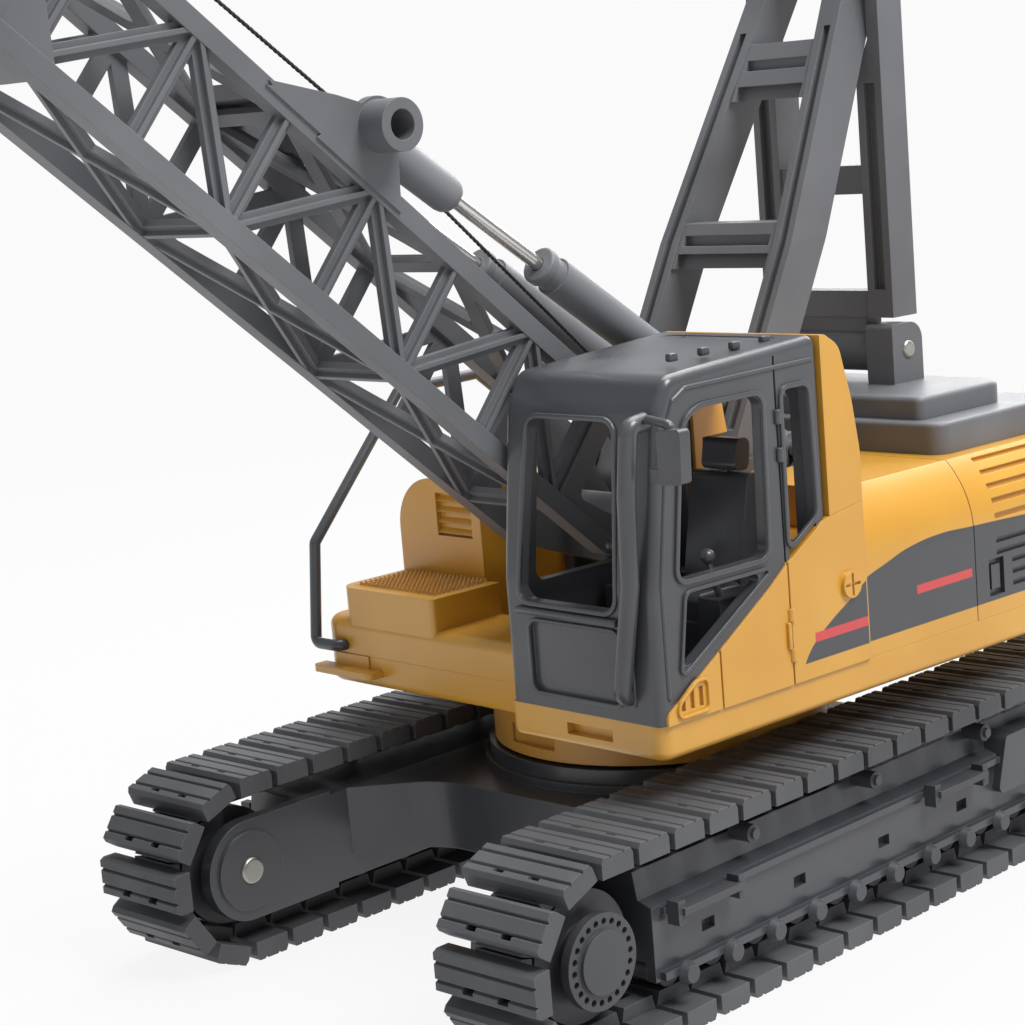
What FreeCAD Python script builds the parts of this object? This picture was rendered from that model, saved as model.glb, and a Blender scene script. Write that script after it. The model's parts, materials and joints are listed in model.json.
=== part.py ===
# Toy crawler crane with a lattice boom, about 1:50, millimetres, +Z up.
# Origin: on the ground, on the swing axis. -Y is the front, where the boom points, +X is the cab side.
import FreeCAD, Part
import math
import os

os.makedirs("parts", exist_ok=True)
V = FreeCAD.Vector

# ---- driving dimensions: undercarriage ----
track_yaw_deg = 2.88          # tracks stand this far round from the house
track_gauge_half = 26.4       # swing axis to the middle of one track
shoe_width = 13.2
wheel_base_half = 46.2        # swing axis to a wheel axle, along the track
track_outer_r = 10.35         # ground line to wheel axle
grouser_h = 1.1
shoe_plate_t = 1.0
shoe_gap = 0.55                # between neighbouring shoes on a bend
link_h = 1.4
link_inset = 3.6                # shoe edge to link
link_width = shoe_width - 2 * link_inset
shoe_count = 46
wheel_gap = 0.35              # wheel rim to link
axle_r = 1.5
frame_half_len = 38.0
frame_low_z = 5.3
frame_ledge_z = 12.9
carbody_low_z = 8.0
carbody_top_z = 16.6
carbody_half_len = 24.0
carbody_flare = 7.6           # how much further out the carbody reaches where it meets a track frame
ring_low_r = 19.9
ring_up_r = 19.2
post_r = 6.0

# ---- driving dimensions: house ----
house_half_w = 30.0
deck_z = 25.3
deck_t = 3.6
cab_front_y = -30.2
right_front_y = -25.0
hood_seam_y = 21.2
weight_front_y = 50.0
tail_r = 68.0
hood_top_z = 47.0
shoulder_r = 11.0
hood_wall = 1.5
pit_half_w = 12.1
cab_inner_x = 8.4
cab_top_z = 64.4
cab_wall = 1.2
cab_rear_y = -3.6
frame_rear_y = 1.9
cover_low_half_w = 24.4
cover_up_half_w = 20.4
cover_low_top_z = 50.6
cover_up_top_z = 53.2
cover_front_y = 23.3

# ---- driving dimensions: boom and gantry ----
boom_angle_deg = 40.2
foot_y = 0.5
foot_z = 38.85
boom_half_w = 7.8
boom_depth = 15.3
chord = 2.1
web_w = 1.3
web_t = 1.7
half_bay = 12.65
first_node_u = 22.4
base_len = 104.3
mid_len = 88.55
head_len = 92.0
head_depth = 6.0
lug_u = 64.0
lug_v = 11.5
lug_t = 1.0
boss_r = 2.6
boss_out = 3.6
pin_r = 1.3
pin_gap = 0.05
cyl_x_off = 4.9
barrel_r = 2.15
barrel_len = 44.7
barrel_base_y = 18.3
barrel_base_z = 47.6
rod_r = 0.75
sleeve_r = 2.0
sleeve_len = 14.0
mast_out = 10.3
mast_leg_w = 2.8
mast_depth_y = 6.1
mast_slope = 0.541
mast_ref_y = 11.6
mast_ref_z = 63.45
mast_kink_z = 72.0
mast_taper = 0.1
gantry_pin_z = 103.7
strut_front_y = 34.1
strut_depth = 4.5
strut_out = 10.1
strut_in = 6.4
strut_foot_z = 61.2
lug_pin_z = 57.2
rope_r = 0.22
drum_r = 3.0
drum_y = 13.4
drum_z = 38.6
fall_len = 46.0
gap = 0.3                     # clearance between bodies that move past each other


# ---- shape helpers ----
def box(x0, x1, y0, y1, z0, z1):
    return Part.makeBox(x1 - x0, y1 - y0, z1 - z0, V(x0, y0, z0))


def cyl_x(r, x0, x1, y, z):
    return Part.makeCylinder(r, x1 - x0, V(x0, y, z), V(1, 0, 0))


def cyl_y(r, y0, y1, x, z):
    return Part.makeCylinder(r, y1 - y0, V(x, y0, z), V(0, 1, 0))


def cyl_z(r, z0, z1, x=0.0, y=0.0):
    return Part.makeCylinder(r, z1 - z0, V(x, y, z0), V(0, 0, 1))


def rod_between(a, b, r):
    d = b - a
    return Part.makeCylinder(r, d.Length, a, d)


def outline(points, radii=None):
    # closed wire through the points; each corner may be rounded by its own radius
    n = len(points)
    if radii is None:
        radii = [0.0] * n
    if not isinstance(radii, (list, tuple)):
        radii = [radii] * n
    enter, leave, arcs = [], [], []
    for i in range(n):
        p, a, b = points[i], points[i - 1], points[(i + 1) % n]
        if radii[i] <= 0:
            enter.append(p)
            leave.append(p)
            arcs.append(None)
            continue
        da = (a - p).normalize()
        db = (b - p).normalize()
        half = da.getAngle(db) / 2
        cut = radii[i] / math.tan(half)
        mid = p + (da + db).normalize() * (radii[i] / math.sin(half) - radii[i])
        enter.append(p + da * cut)
        leave.append(p + db * cut)
        arcs.append(mid)
    edges = []
    for i in range(n):
        j = (i + 1) % n
        if arcs[i] is not None:
            edges.append(Part.Arc(enter[i], arcs[i], leave[i]).toShape())
        if (leave[i] - enter[j]).Length > 1e-6:
            edges.append(Part.makeLine(leave[i], enter[j]))
    return Part.Wire(edges)


def prism_x(yz, x0, x1, radii=None):
    wire = outline([V(x0, y, z) for y, z in yz], radii)
    return Part.Face(wire).extrude(V(x1 - x0, 0, 0))


def prism_y(xz, y0, y1, radii=None):
    wire = outline([V(x, y0, z) for x, z in xz], radii)
    return Part.Face(wire).extrude(V(0, y1 - y0, 0))


def prism_z(xy, z0, z1, radii=None):
    wire = outline([V(x, y, z0) for x, y in xy], radii)
    return Part.Face(wire).extrude(V(0, 0, z1 - z0))


def fuse(shapes):
    whole = shapes[0].multiFuse(shapes[1:]) if len(shapes) > 1 else shapes[0]
    return whole.removeSplitter()


def both_sides(shape):
    return [shape, shape.mirror(V(0, 0, 0), V(1, 0, 0))]


def fillet(shape, radius, wanted):
    edges = [e for e in shape.Edges if wanted(e)]
    return shape.makeFillet(radius, edges) if edges else shape


def vertical(edge):
    box_ = edge.BoundBox
    return box_.XLength < 1e-6 and box_.YLength < 1e-6 and box_.ZLength > 1e-3


def save(name, shape):
    solids = shape if isinstance(shape, list) else [shape]
    parts = []
    for s in solids:
        parts.extend(s.Solids)
    for s in parts:
        if not s.isValid():
            raise ValueError(name + " has an invalid solid")
    out = parts[0] if len(parts) == 1 else Part.Compound(parts)
    out.exportStep("parts/" + name + ".step")
    print(name, len(parts), round(sum(s.Volume for s in parts), 1))


# ---- undercarriage: built straight, then turned by the track yaw ----
def turned(shape):
    items = shape if isinstance(shape, list) else [shape]
    out = []
    for s in items:
        t = s.copy()
        t.rotate(V(0, 0, 0), V(0, 0, 1), track_yaw_deg)
        out.append(t)
    return out


def side_sign(side):
    return 1.0 if side == "left" else -1.0


def on_side(shape, side):
    return shape if side == "left" else shape.mirror(V(0, 0, 0), V(1, 0, 0))


wheel_z = track_outer_r
shoe_seat_r = track_outer_r - grouser_h - shoe_plate_t     # underside of the shoes
link_in_r = shoe_seat_r - link_h
wheel_r = link_in_r - wheel_gap
track_in_x = track_gauge_half - shoe_width / 2
track_out_x = track_gauge_half + shoe_width / 2
mid_r = track_outer_r - grouser_h - shoe_plate_t / 2
loop_len = 4 * wheel_base_half + 2 * math.pi * mid_r
shoe_pitch = loop_len / shoe_count
link_len = min(shoe_pitch - 0.3, 2 * shoe_seat_r * math.tan(shoe_pitch / mid_r / 2) - 0.06)
shoe_len = link_len - shoe_gap


def track_station(s):
    # place along the track loop: (y, z, turn in degrees about +X) of a shoe's seat, outward is local +Z
    straight = 2 * wheel_base_half
    bend = math.pi * mid_r
    s = s % loop_len
    if s < straight:                                  # bottom run, heading to the rear
        return -wheel_base_half + s, wheel_z - shoe_seat_r, 180.0
    s -= straight
    if s < bend:                                      # round the rear wheel
        a = s / mid_r
        return (wheel_base_half + shoe_seat_r * math.sin(a), wheel_z - shoe_seat_r * math.cos(a),
                180.0 + math.degrees(a))
    s -= bend
    if s < straight:                                  # top run, heading to the front
        return wheel_base_half - s, wheel_z + shoe_seat_r, 0.0
    a = (s - straight) / mid_r
    return (-wheel_base_half - shoe_seat_r * math.sin(a), wheel_z + shoe_seat_r * math.cos(a),
            math.degrees(a))


def along_track(piece):
    out = []
    on_ground = 2 * wheel_base_half / shoe_pitch
    phase = (on_ground - math.floor(on_ground)) / 2      # keeps the corners of the end shoes off the ground
    for i in range(shoe_count):
        y, z, turn = track_station((i + phase) * shoe_pitch)
        copy = piece.copy()
        copy.rotate(V(0, 0, 0), V(1, 0, 0), turn)
        copy.translate(V(track_gauge_half, y, z))
        out.append(copy)
    return out


def shoe():
    h, t = shoe_len / 2, shoe_plate_t
    top = t + grouser_h
    groove = 0.34
    profile = [(-h, 0), (h, 0), (h, top - 0.55), (h - 0.3, top), (h * 0.52, top), (h * 0.42, top - groove),
               (h * 0.32, top), (-h * 0.32, top), (-h * 0.42, top - groove), (-h * 0.52, top),
               (-h + 0.3, top), (-h, top - 0.55)]
    plate = prism_x(profile, -shoe_width / 2, shoe_width / 2)
    slots = [box(x - 0.7, x + 0.7, -1.5, -0.9, -1, top + 1) for x in (-2.3, 2.3)]
    return plate.cut(Part.Compound(slots))


def link():
    low = link_in_r * math.tan(shoe_pitch / mid_r / 2) - 0.06
    profile = [(-low, -link_h), (low, -link_h), (link_len / 2 - 0.05, 0), (-link_len / 2 + 0.05, 0)]
    block = prism_x(profile, -link_width / 2, link_width / 2)
    return block.cut(box(-1.2, 1.2, -1.1, 1.1, -link_h - 1, 1))


def track_frame():
    in_x, out_x = track_in_x + 0.1, track_out_x - 2.0
    beam = prism_y([(in_x, frame_low_z), (out_x, frame_low_z), (out_x, frame_ledge_z),
                    (out_x - 1.7, frame_ledge_z + 0.5), (out_x - 2.2, wheel_z + link_in_r - 1.0),
                    (in_x, wheel_z + link_in_r - 1.6)],
                   -frame_half_len, frame_half_len)
    lip = box(out_x - 1.5, out_x + 0.8, -frame_half_len + 0.6, frame_half_len - 0.6,
              frame_low_z + 0.2, frame_low_z + 1.0)
    ledge = box(out_x - 1.5, out_x + 0.6, -frame_half_len + 1.2, frame_half_len - 1.2,
                frame_ledge_z - 0.9, frame_ledge_z - 0.2)
    motor = prism_x([(20.5, 8.6), (37.2, 8.6), (37.2, 15.0), (22.5, 15.0)], out_x - 2.5, out_x + 1.1, 0.8)
    nose_r = 5.6
    cheeks = []
    for end in (-1, 1):
        y0, y1 = sorted((end * (frame_half_len - 4), end * wheel_base_half))
        plate = box(in_x, in_x + 1.6, y0, y1, wheel_z - nose_r, wheel_z + nose_r)
        cap = cyl_x(nose_r, in_x, in_x + 1.6, end * wheel_base_half, wheel_z)
        rim = cyl_x(nose_r - 1.2, in_x - 0.3, in_x, end * wheel_base_half, wheel_z)
        cheeks += [plate, cap, rim]
    frame = fuse([beam, lip, ledge, motor] + cheeks)
    cuts = [cyl_x(axle_r, in_x - 2, in_x + 4, end * wheel_base_half, wheel_z) for end in (-1, 1)]
    pitch = 14.8
    for i in range(-2, 2):                             # small windows in the side
        y = -0.2 + i * pitch
        cuts.append(box(out_x - 0.8, out_x + 2, y - 1.0, y + 1.0, 8.3, 9.5))
    tunnel = box(track_in_x + 2.6, out_x - 1.2, -frame_half_len - 1, frame_half_len + 1,
                 frame_low_z - 1, frame_low_z + 1.9)
    return frame.cut(Part.Compound(cuts)).cut(tunnel)


roller_pitch = 6.87
roller_count = 11
roller_r = 1.65
roller_z = wheel_z - link_in_r + roller_r + 0.05


def bottom_rollers(side):
    out = []
    for i in range(roller_count):
        y = (i - (roller_count - 1) / 2) * roller_pitch
        x0, x1 = track_gauge_half - link_width / 2, track_gauge_half + link_width / 2
        body = fuse([cyl_x(roller_r, x0, x1, y, roller_z),
                     cyl_x(1.0, x1, track_out_x - 2.0 - 1.2, y, roller_z)])
        out.append(on_side(body, side))
    return out


def roller_caps(side):
    out = []
    x0 = track_out_x - 2.0
    for i in range(roller_count):
        y = (i - (roller_count - 1) / 2) * roller_pitch
        cap = Part.makeCone(1.25, 0.9, 0.9, V(x0 + 0.8, y, frame_low_z + 0.15), V(1, 0, 0))
        out.append(on_side(cap, side))
    return out


def carrier_rollers(side):
    out = []
    top = wheel_z + link_in_r
    for y in (-22.4, -1.5, 19.4):
        body = fuse([cyl_x(0.95, track_out_x - 4.2, track_out_x - 1.6, y, top - 1.1),
                     cyl_x(0.55, track_out_x - 1.6, track_out_x - 1.2, y, top - 1.1)])
        out.append(on_side(body, side))
    return out


def frame_steps(side):
    out = []
    x0 = track_out_x - 1.4
    for y in (-31.3, 11.9):
        tread = box(x0, x0 + 1.9, y - 4.6, y + 4.6, frame_ledge_z - 0.9, frame_ledge_z - 0.2)
        ears = [box(x0, x0 + 1.5, y + e * 4.6 - 0.5, y + e * 4.6 + 0.5, frame_ledge_z - 1.9,
                    frame_ledge_z + 0.5) for e in (-1, 1)]
        out.append(on_side(fuse([tread] + ears), side))
    return out


def track_axles(side):
    out = []
    for end in (-1, 1):
        pin = cyl_x(axle_r, track_in_x - 0.5, track_gauge_half + 3.6, end * wheel_base_half, wheel_z)
        pin = fillet(pin, 0.35, lambda e: e.BoundBox.XMax < track_in_x)
        out.append(on_side(pin, side))
    return out


def track_wheel(side, end, hub_bolts):
    y = end * wheel_base_half
    x0, x1 = track_gauge_half - link_width / 2 + 0.2, track_gauge_half + link_width / 2 - 0.2
    disc = cyl_x(wheel_r, x0, x1, y, wheel_z)
    groove = cyl_x(wheel_r + 1, x0 + 1.8, x1 - 1.8, y, wheel_z).cut(
        cyl_x(wheel_r - 1.0, x0, x1, y, wheel_z))
    hub_x = track_out_x - 1.1
    neck = cyl_x(3.4, x1, hub_x - 1.0, y, wheel_z)
    hub = cyl_x(4.7, hub_x - 1.0, hub_x, y, wheel_z)
    boss = cyl_x(3.1, hub_x, hub_x + 0.4, y, wheel_z)
    wheel = fuse([disc.cut(groove), neck, hub, boss])
    wheel = wheel.cut(cyl_x(axle_r + pin_gap, x0 - 1, track_gauge_half + 3.6 + pin_gap, y, wheel_z))
    holes = []
    for i in range(hub_bolts):
        a = 2 * math.pi * i / hub_bolts
        holes.append(cyl_x(0.34, hub_x - 0.5, hub_x + 1, y + 3.9 * math.cos(a), wheel_z + 3.9 * math.sin(a)))
    wheel = wheel.cut(Part.Compound(holes))
    return on_side(wheel, side)


def carbody():
    x = track_in_x + 0.1
    y0, y1 = carbody_half_len, carbody_half_len + carbody_flare
    xf = 9.5
    plan = [(-x, -y1), (-xf - 3, -y0), (xf + 3, -y0), (x, -y1), (x, y1), (xf + 3, y0), (-xf - 3, y0), (-x, y1)]
    body = prism_z(plan, carbody_low_z, carbody_top_z - 0.9, [0, 8, 8, 0, 0, 8, 8, 0])
    deck = cyl_z(ring_low_r + 0.6, carbody_top_z - 0.9, carbody_top_z)
    deck = deck.common(box(-x, x, -30, 30, 0, 30))
    rib = fuse([box(-x, x, s * 20 - 1.2, s * 20 + 1.2, carbody_low_z - 1.0, carbody_low_z) for s in (-1, 1)])
    post = cyl_z(post_r, carbody_top_z, deck_z - 1.6)
    return fuse([body, deck, rib, post]).cut(cyl_z(2.0, 10, 40))


save("carbody", turned(carbody()))
ring = cyl_z(ring_low_r, carbody_top_z, deck_z - 7.1).cut(cyl_z(ring_low_r - 3.2, 0, 40))
save("slew_ring", turned(ring))
screw_z = deck_z - 1.6
pivot = fuse([cyl_z(2.0, 12.0, screw_z), cyl_z(7.4, screw_z, screw_z + 0.8)])
save("pivot_screw", turned(pivot.cut(box(-2.2, 2.2, -0.3, 0.3, screw_z + 0.4, 40))))
frame = track_frame()
shoes = along_track(shoe())
links = along_track(link())
for side in ("left", "right"):
    save("track_frame_" + side, turned(on_side(frame, side)))
    save("track_shoes_" + side, turned([on_side(s, side) for s in shoes]))
    save("track_links_" + side, turned([on_side(s, side) for s in links]))
    save("drive_wheel_" + side, turned(track_wheel(side, -1, 22)))
    save("idler_wheel_" + side, turned(track_wheel(side, 1, 22)))
save("bottom_rollers", turned(bottom_rollers("left") + bottom_rollers("right")))
save("roller_caps", turned(roller_caps("left") + roller_caps("right")))
save("carrier_rollers", turned([on_side(r, side).cut(on_side(frame, side)) for side in ("left", "right")
                                for r in carrier_rollers("left")]))
save("frame_steps", turned(frame_steps("left") + frame_steps("right")))
save("track_axles", turned(track_axles("left") + track_axles("right")))


# ---- house ----
def turntable_ring():
    z0 = deck_z - 7.1 + gap
    ring_ = cyl_z(ring_up_r, z0, deck_z).cut(cyl_z(ring_up_r - 4.0, z0 - 1, deck_z - 2.9))
    hub = cyl_z(post_r + 3.2, z0 + 0.6, deck_z)
    whole = fuse([ring_, hub])
    whole = whole.cut(cyl_z(post_r + pin_gap, 0, 60))
    whole = whole.cut(cyl_z(7.4 + gap, screw_z - pin_gap * 2, 60))
    notch = box(-5.0, 2.2, -ring_up_r - 1, -ring_up_r + 1.0, z0 + 1.2, z0 + 3.4)
    return whole.cut(notch)


deck_top_z = deck_z + deck_t


def house_deck():
    w = house_half_w
    plan = [(-w, right_front_y), (cab_inner_x - 0.2, right_front_y), (cab_inner_x - 0.2, cab_front_y),
            (w, cab_front_y), (w, weight_front_y), (-w, weight_front_y)]
    plate = prism_z(plan, deck_z, deck_top_z, [3.0, 0, 0.8, 1.6, 0, 0])
    plate = fillet(plate, 0.8, lambda e: e.BoundBox.ZMax < deck_z + 0.01 and e.BoundBox.YMin < weight_front_y - 1)
    notch = box(16.5, 23.0, cab_front_y - 1, cab_front_y + 1.0, deck_z + 1.2, deck_z + 2.4)
    return plate.cut(notch).cut(cyl_z(8.0, deck_z - 1, deck_z + 0.6))


step_x0, step_x1 = -26.2, -9.6
step_y0, step_y1 = right_front_y + 0.1, -14.6
step_z = 36.7
right_deck_top = 33.0


def right_deck():
    w = house_half_w
    base = prism_z([(-w, right_front_y), (cab_inner_x - gap, right_front_y), (cab_inner_x - gap, step_y1),
                    (-w, step_y1)], deck_top_z, right_deck_top, [3.0, 0, 0, 0])
    base = fillet(base, 1.2, lambda e: abs(e.BoundBox.ZMin - right_deck_top) < 1e-3 and
                  abs(e.BoundBox.ZMax - right_deck_top) < 1e-3 and e.BoundBox.YMax < step_y1 - 0.5)
    stair = prism_z([(step_x0, step_y0), (step_x1, step_y0), (step_x1, step_y1), (step_x0, step_y1)],
                    right_deck_top - 1.0, step_z, [2.4, 0.6, 0, 0])
    foot = box(-29.6, -19.2, right_front_y - 2.1, right_front_y, deck_z + 1.4, deck_z + 2.2)
    foot = fillet(foot, 0.8, lambda e: vertical(e) and e.BoundBox.YMax < right_front_y - 1)
    bracket = box(-27.4, -21.4, right_front_y - 0.2, right_front_y + 1.0, deck_z + 1.4, deck_top_z)
    deck = fuse([base, stair, foot, bracket])
    recess = box(step_x0 + 1.4, step_x1 - 0.9, step_y0 + 1.2, step_y1, step_z - 0.5, step_z + 1)
    plate_room = box(-house_half_w, 0, right_front_y, 0, deck_z, deck_top_z)
    return deck.cut(recess).cut(plate_room)


def tread_plate():
    x0, x1 = step_x0 + 1.4, step_x1 - 0.9
    y0, y1 = step_y0 + 1.2, step_y1
    plate = box(x0, x1, y0, y1, step_z - 0.5, step_z + 0.1)
    ridges = []
    count = 9
    for i in range(count):
        y = y0 + (i + 0.5) * (y1 - y0) / count
        ridges.append(box(x0 + 0.4, x1 - 0.4, y - 0.22, y + 0.22, step_z + 0.1, step_z + 0.4))
    cuts = [box(x0 + (i + 0.5) * (x1 - x0) / 16 - 0.2, x0 + (i + 0.5) * (x1 - x0) / 16 + 0.2, y0, y1,
                step_z + 0.1, step_z + 1) for i in range(16)]
    return fuse([plate] + ridges).cut(Part.Compound(cuts))


tank_rear_y = -2.0


def tank_box():
    x0, x1, top = -26.4, -pit_half_w, hood_top_z + 1.0
    shell = prism_y([(x0, deck_top_z + 0.05), (x1, deck_top_z + 0.05), (x1, top), (x0, top)],
                    step_y1 + 0.02, tank_rear_y, [0, 0, 1.0, 6.0])
    shell = shell.cut(box(x0 + 1.5, x1 - 1.5, step_y1 + 1.6, tank_rear_y + 1, deck_top_z - 1, top - 6.5))
    lx0, lx1, lz0, lz1 = -19.6, -13.6, 41.4, 46.4
    recess = box(lx0, lx1, step_y1 - 1, step_y1 + 0.7, lz0, lz1)
    shell = shell.cut(recess)
    slats = []
    for i in range(4):
        z = lz0 + (i + 0.5) * (lz1 - lz0) / 4
        slat = prism_x([(step_y1 + 0.1, z - 0.35), (step_y1 + 0.9, z - 0.05), (step_y1 + 0.9, z + 0.45)],
                       lx0 - 0.1, lx1 + 0.1)
        slats.append(slat)
    return fuse([shell] + slats)


def shoulder_profile(inset, low):
    # right half of the hood's section, from the inner top corner round the shoulder to the skirt
    r = shoulder_r - inset
    cx, cz = house_half_w - shoulder_r, hood_top_z - 8.0
    top = hood_top_z - inset
    a = math.asin((top - cz) / r)
    edge = V(cx + r * math.cos(a), 0, top)
    mid = V(cx + r * math.cos(a / 2), 0, cz + r * math.sin(a / 2))
    side = V(cx + r, 0, cz)
    return edge, mid, side, V(cx + r, 0, low)


def hood_solid(inner_x, y0, y1, inset, low, both):
    edge, mid, side, foot = shoulder_profile(inset, low)
    edges = [Part.Arc(edge, mid, side).toShape(), Part.makeLine(side, foot)]
    if both:
        mx = lambda p: V(-p.x, p.y, p.z)
        edges += [Part.makeLine(foot, mx(foot)), Part.makeLine(mx(foot), mx(side)),
                  Part.Arc(mx(side), mx(mid), mx(edge)).toShape(), Part.makeLine(mx(edge), edge)]
    else:
        a, b = V(inner_x, 0, low), V(inner_x, 0, edge.z)
        edges += [Part.makeLine(foot, a), Part.makeLine(a, b), Part.makeLine(b, edge)]
    face = Part.Face(Part.Wire(edges))
    face.translate(V(0, y0, 0))
    return face.extrude(V(0, y1 - y0, 0))


def side_panel(side):
    y0 = frame_rear_y + 0.1 if side == "left" else tank_rear_y + 0.1
    outer = hood_solid(pit_half_w, y0, hood_seam_y - 0.1, 0, deck_top_z, False)
    inner = hood_solid(pit_half_w + hood_wall, y0 + hood_wall, hood_seam_y - 0.1 - hood_wall, hood_wall,
                       deck_top_z - 1, False)
    return on_side(outer.cut(inner), side)


def engine_hood():
    y0, y1 = hood_seam_y + 0.05, weight_front_y - 0.1
    outer = hood_solid(0, y0, y1, 0, deck_top_z, True)
    inner = hood_solid(0, y0 + hood_wall, y1 - hood_wall, hood_wall, deck_top_z - 1, True)
    hood = outer.cut(inner)
    grooves = []
    for s in (-1, 1):
        for i in range(7):                              # louvres on the shoulder and the side
            a = math.radians(6 + 9.0 * i)
            cx, cz = house_half_w - shoulder_r, hood_top_z - 8.0
            r = shoulder_r
            p = V(s * (cx + r * math.cos(a)), 25.2, cz + r * math.sin(a))
            slot = Part.makeBox(1.0, 16.0, 0.62, V(-0.5, 0, -0.31))
            slot.rotate(V(0, 0, 0), V(0, 1, 0), -s * math.degrees(a))
            slot.translate(p)
            if a < math.radians(46):
                grooves.append(slot)
        for i in range(5):
            z = hood_top_z - 9.6 - i * 1.35
            x0, x1 = sorted((s * (house_half_w - 0.5), s * (house_half_w + 1)))
            grooves.append(box(x0, x1, 28.0 if i > 1 else 25.2, 41.2, z - 0.31, z + 0.31))
        x0, x1 = sorted((s * (house_half_w - 0.6), s * (house_half_w + 1)))
        grooves.append(box(x0, x1, 23.6, 26.4, 31.2, 35.4))
    hood = hood.cut(Part.Compound(grooves))
    latches = []
    for s in (-1, 1):
        x0, x1 = sorted((s * (house_half_w - 0.7), s * (house_half_w - 0.15)))
        latches.append(box(x0, x1, 24.2, 25.8, 31.9, 34.7))
    return fuse([hood] + latches)


def counterweight():
    y0 = weight_front_y
    block = hood_solid(0, y0, tail_r + 5, 0, deck_z, True)
    round_tail = cyl_z(tail_r, 0, 80)
    block = block.common(round_tail)
    edge = prism_z([(-house_half_w, y0), (house_half_w, y0), (house_half_w, tail_r + 5),
                    (-house_half_w, tail_r + 5)], deck_z, 80, [0, 0, 12.0, 12.0])
    block = block.common(edge)
    slots = [box(s * 12 - 3.0, s * 12 + 3.0, tail_r - 5.5, tail_r + 5, 33.0, 34.2) for s in (-1, 1)]
    return block.cut(Part.Compound(slots))


cover_rear_y = 47.5
up_front_y = cover_front_y + 1.8
up_rear_y = 42.0


def rear_cover():
    w = cover_low_half_w
    plan = [(-w, cover_front_y), (w, cover_front_y), (w, cover_rear_y), (-w, cover_rear_y)]
    block = prism_z(plan, hood_top_z, cover_low_top_z, [2.0] * 4)
    return fillet(block, 0.5, lambda e: abs(e.BoundBox.ZMin - cover_low_top_z) < 1e-3 and
                  abs(e.BoundBox.ZMax - cover_low_top_z) < 1e-3)


strut_mid_y = strut_front_y + strut_depth / 2
lug_in, lug_out = strut_in - 0.1, strut_out + 0.2


def gantry_base():
    w = cover_up_half_w
    low = prism_z([(-w, up_front_y), (w, up_front_y), (w, up_rear_y), (-w, up_rear_y)],
                  cover_low_top_z, cover_up_top_z, [1.0, 1.0, 3.2, 3.2])
    low = fillet(low, 0.6, lambda e: abs(e.BoundBox.ZMin - cover_up_top_z) < 1e-3 and
                 abs(e.BoundBox.ZMax - cover_up_top_z) < 1e-3)
    y0, y1 = strut_mid_y - 2.95, strut_mid_y + 2.75
    top = lug_pin_z + 3.2
    lug = prism_x([(y0, cover_up_top_z), (y1, cover_up_top_z), (y1, top), (y0, top)], lug_in, lug_out,
                  [0, 0, 2.2, 0.6])
    base = fuse([low] + both_sides(lug))
    return base.cut(cyl_x(1.1, -20, 20, strut_mid_y, lug_pin_z))


def gantry_strut():
    y0, y1 = strut_front_y, strut_front_y + strut_depth
    top_z = gantry_pin_z + 3.4
    leg_plan = [(strut_in, strut_foot_z), (strut_out, strut_foot_z), (strut_out, top_z),
                (8.35, top_z), (8.35, 94.0), (strut_in, 90.0)]
    leg = prism_y(leg_plan, y0, y1)
    head = cyl_x(3.0, 8.35, strut_out, strut_mid_y, gantry_pin_z)
    side = prism_x([(y0, strut_foot_z), (y1, strut_foot_z), (y1, top_z - 3), (y1 - 1, top_z),
                    (y0 + 1, top_z), (y0, top_z - 3)], -30, 30)
    leg = fuse([leg.common(side), head])
    groove = box(strut_in + 1.0, strut_out - 1.0, y0 - 1, y0 + 1.0, strut_foot_z + 3.4, 89.0)
    leg = leg.cut(groove)
    bars = []
    for z0, z1 in ((61.2, 64.4), (76.0, 79.4)):
        bar = box(-strut_in - 0.2, strut_in + 0.2, y0 + 0.3, y0 + 2.9, z0, z1)
        bars.append(bar)
    barrel = cyl_x(2.75, -lug_in + gap / 3, lug_in - gap / 3, strut_mid_y, lug_pin_z)
    web = box(-lug_in + 0.9, lug_in - 0.9, strut_mid_y - 1.6, strut_mid_y + 1.3, lug_pin_z, strut_foot_z + 0.6)
    strut = fuse(both_sides(leg) + bars + [barrel, web])
    strut = strut.cut(cyl_x(1.1, -20, 20, strut_mid_y, lug_pin_z))
    return strut.cut(cyl_x(1.1, -20, 20, strut_mid_y, gantry_pin_z))


def mast_front(z):
    return mast_ref_y + (z - mast_ref_z) * mast_slope


mast_foot_z = 46.4
mast_foot_y = mast_front(mast_foot_z) + mast_depth_y / 2
mast_low_z = mast_foot_z - 2.9
mast_top_z = gantry_pin_z + 3.0


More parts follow.
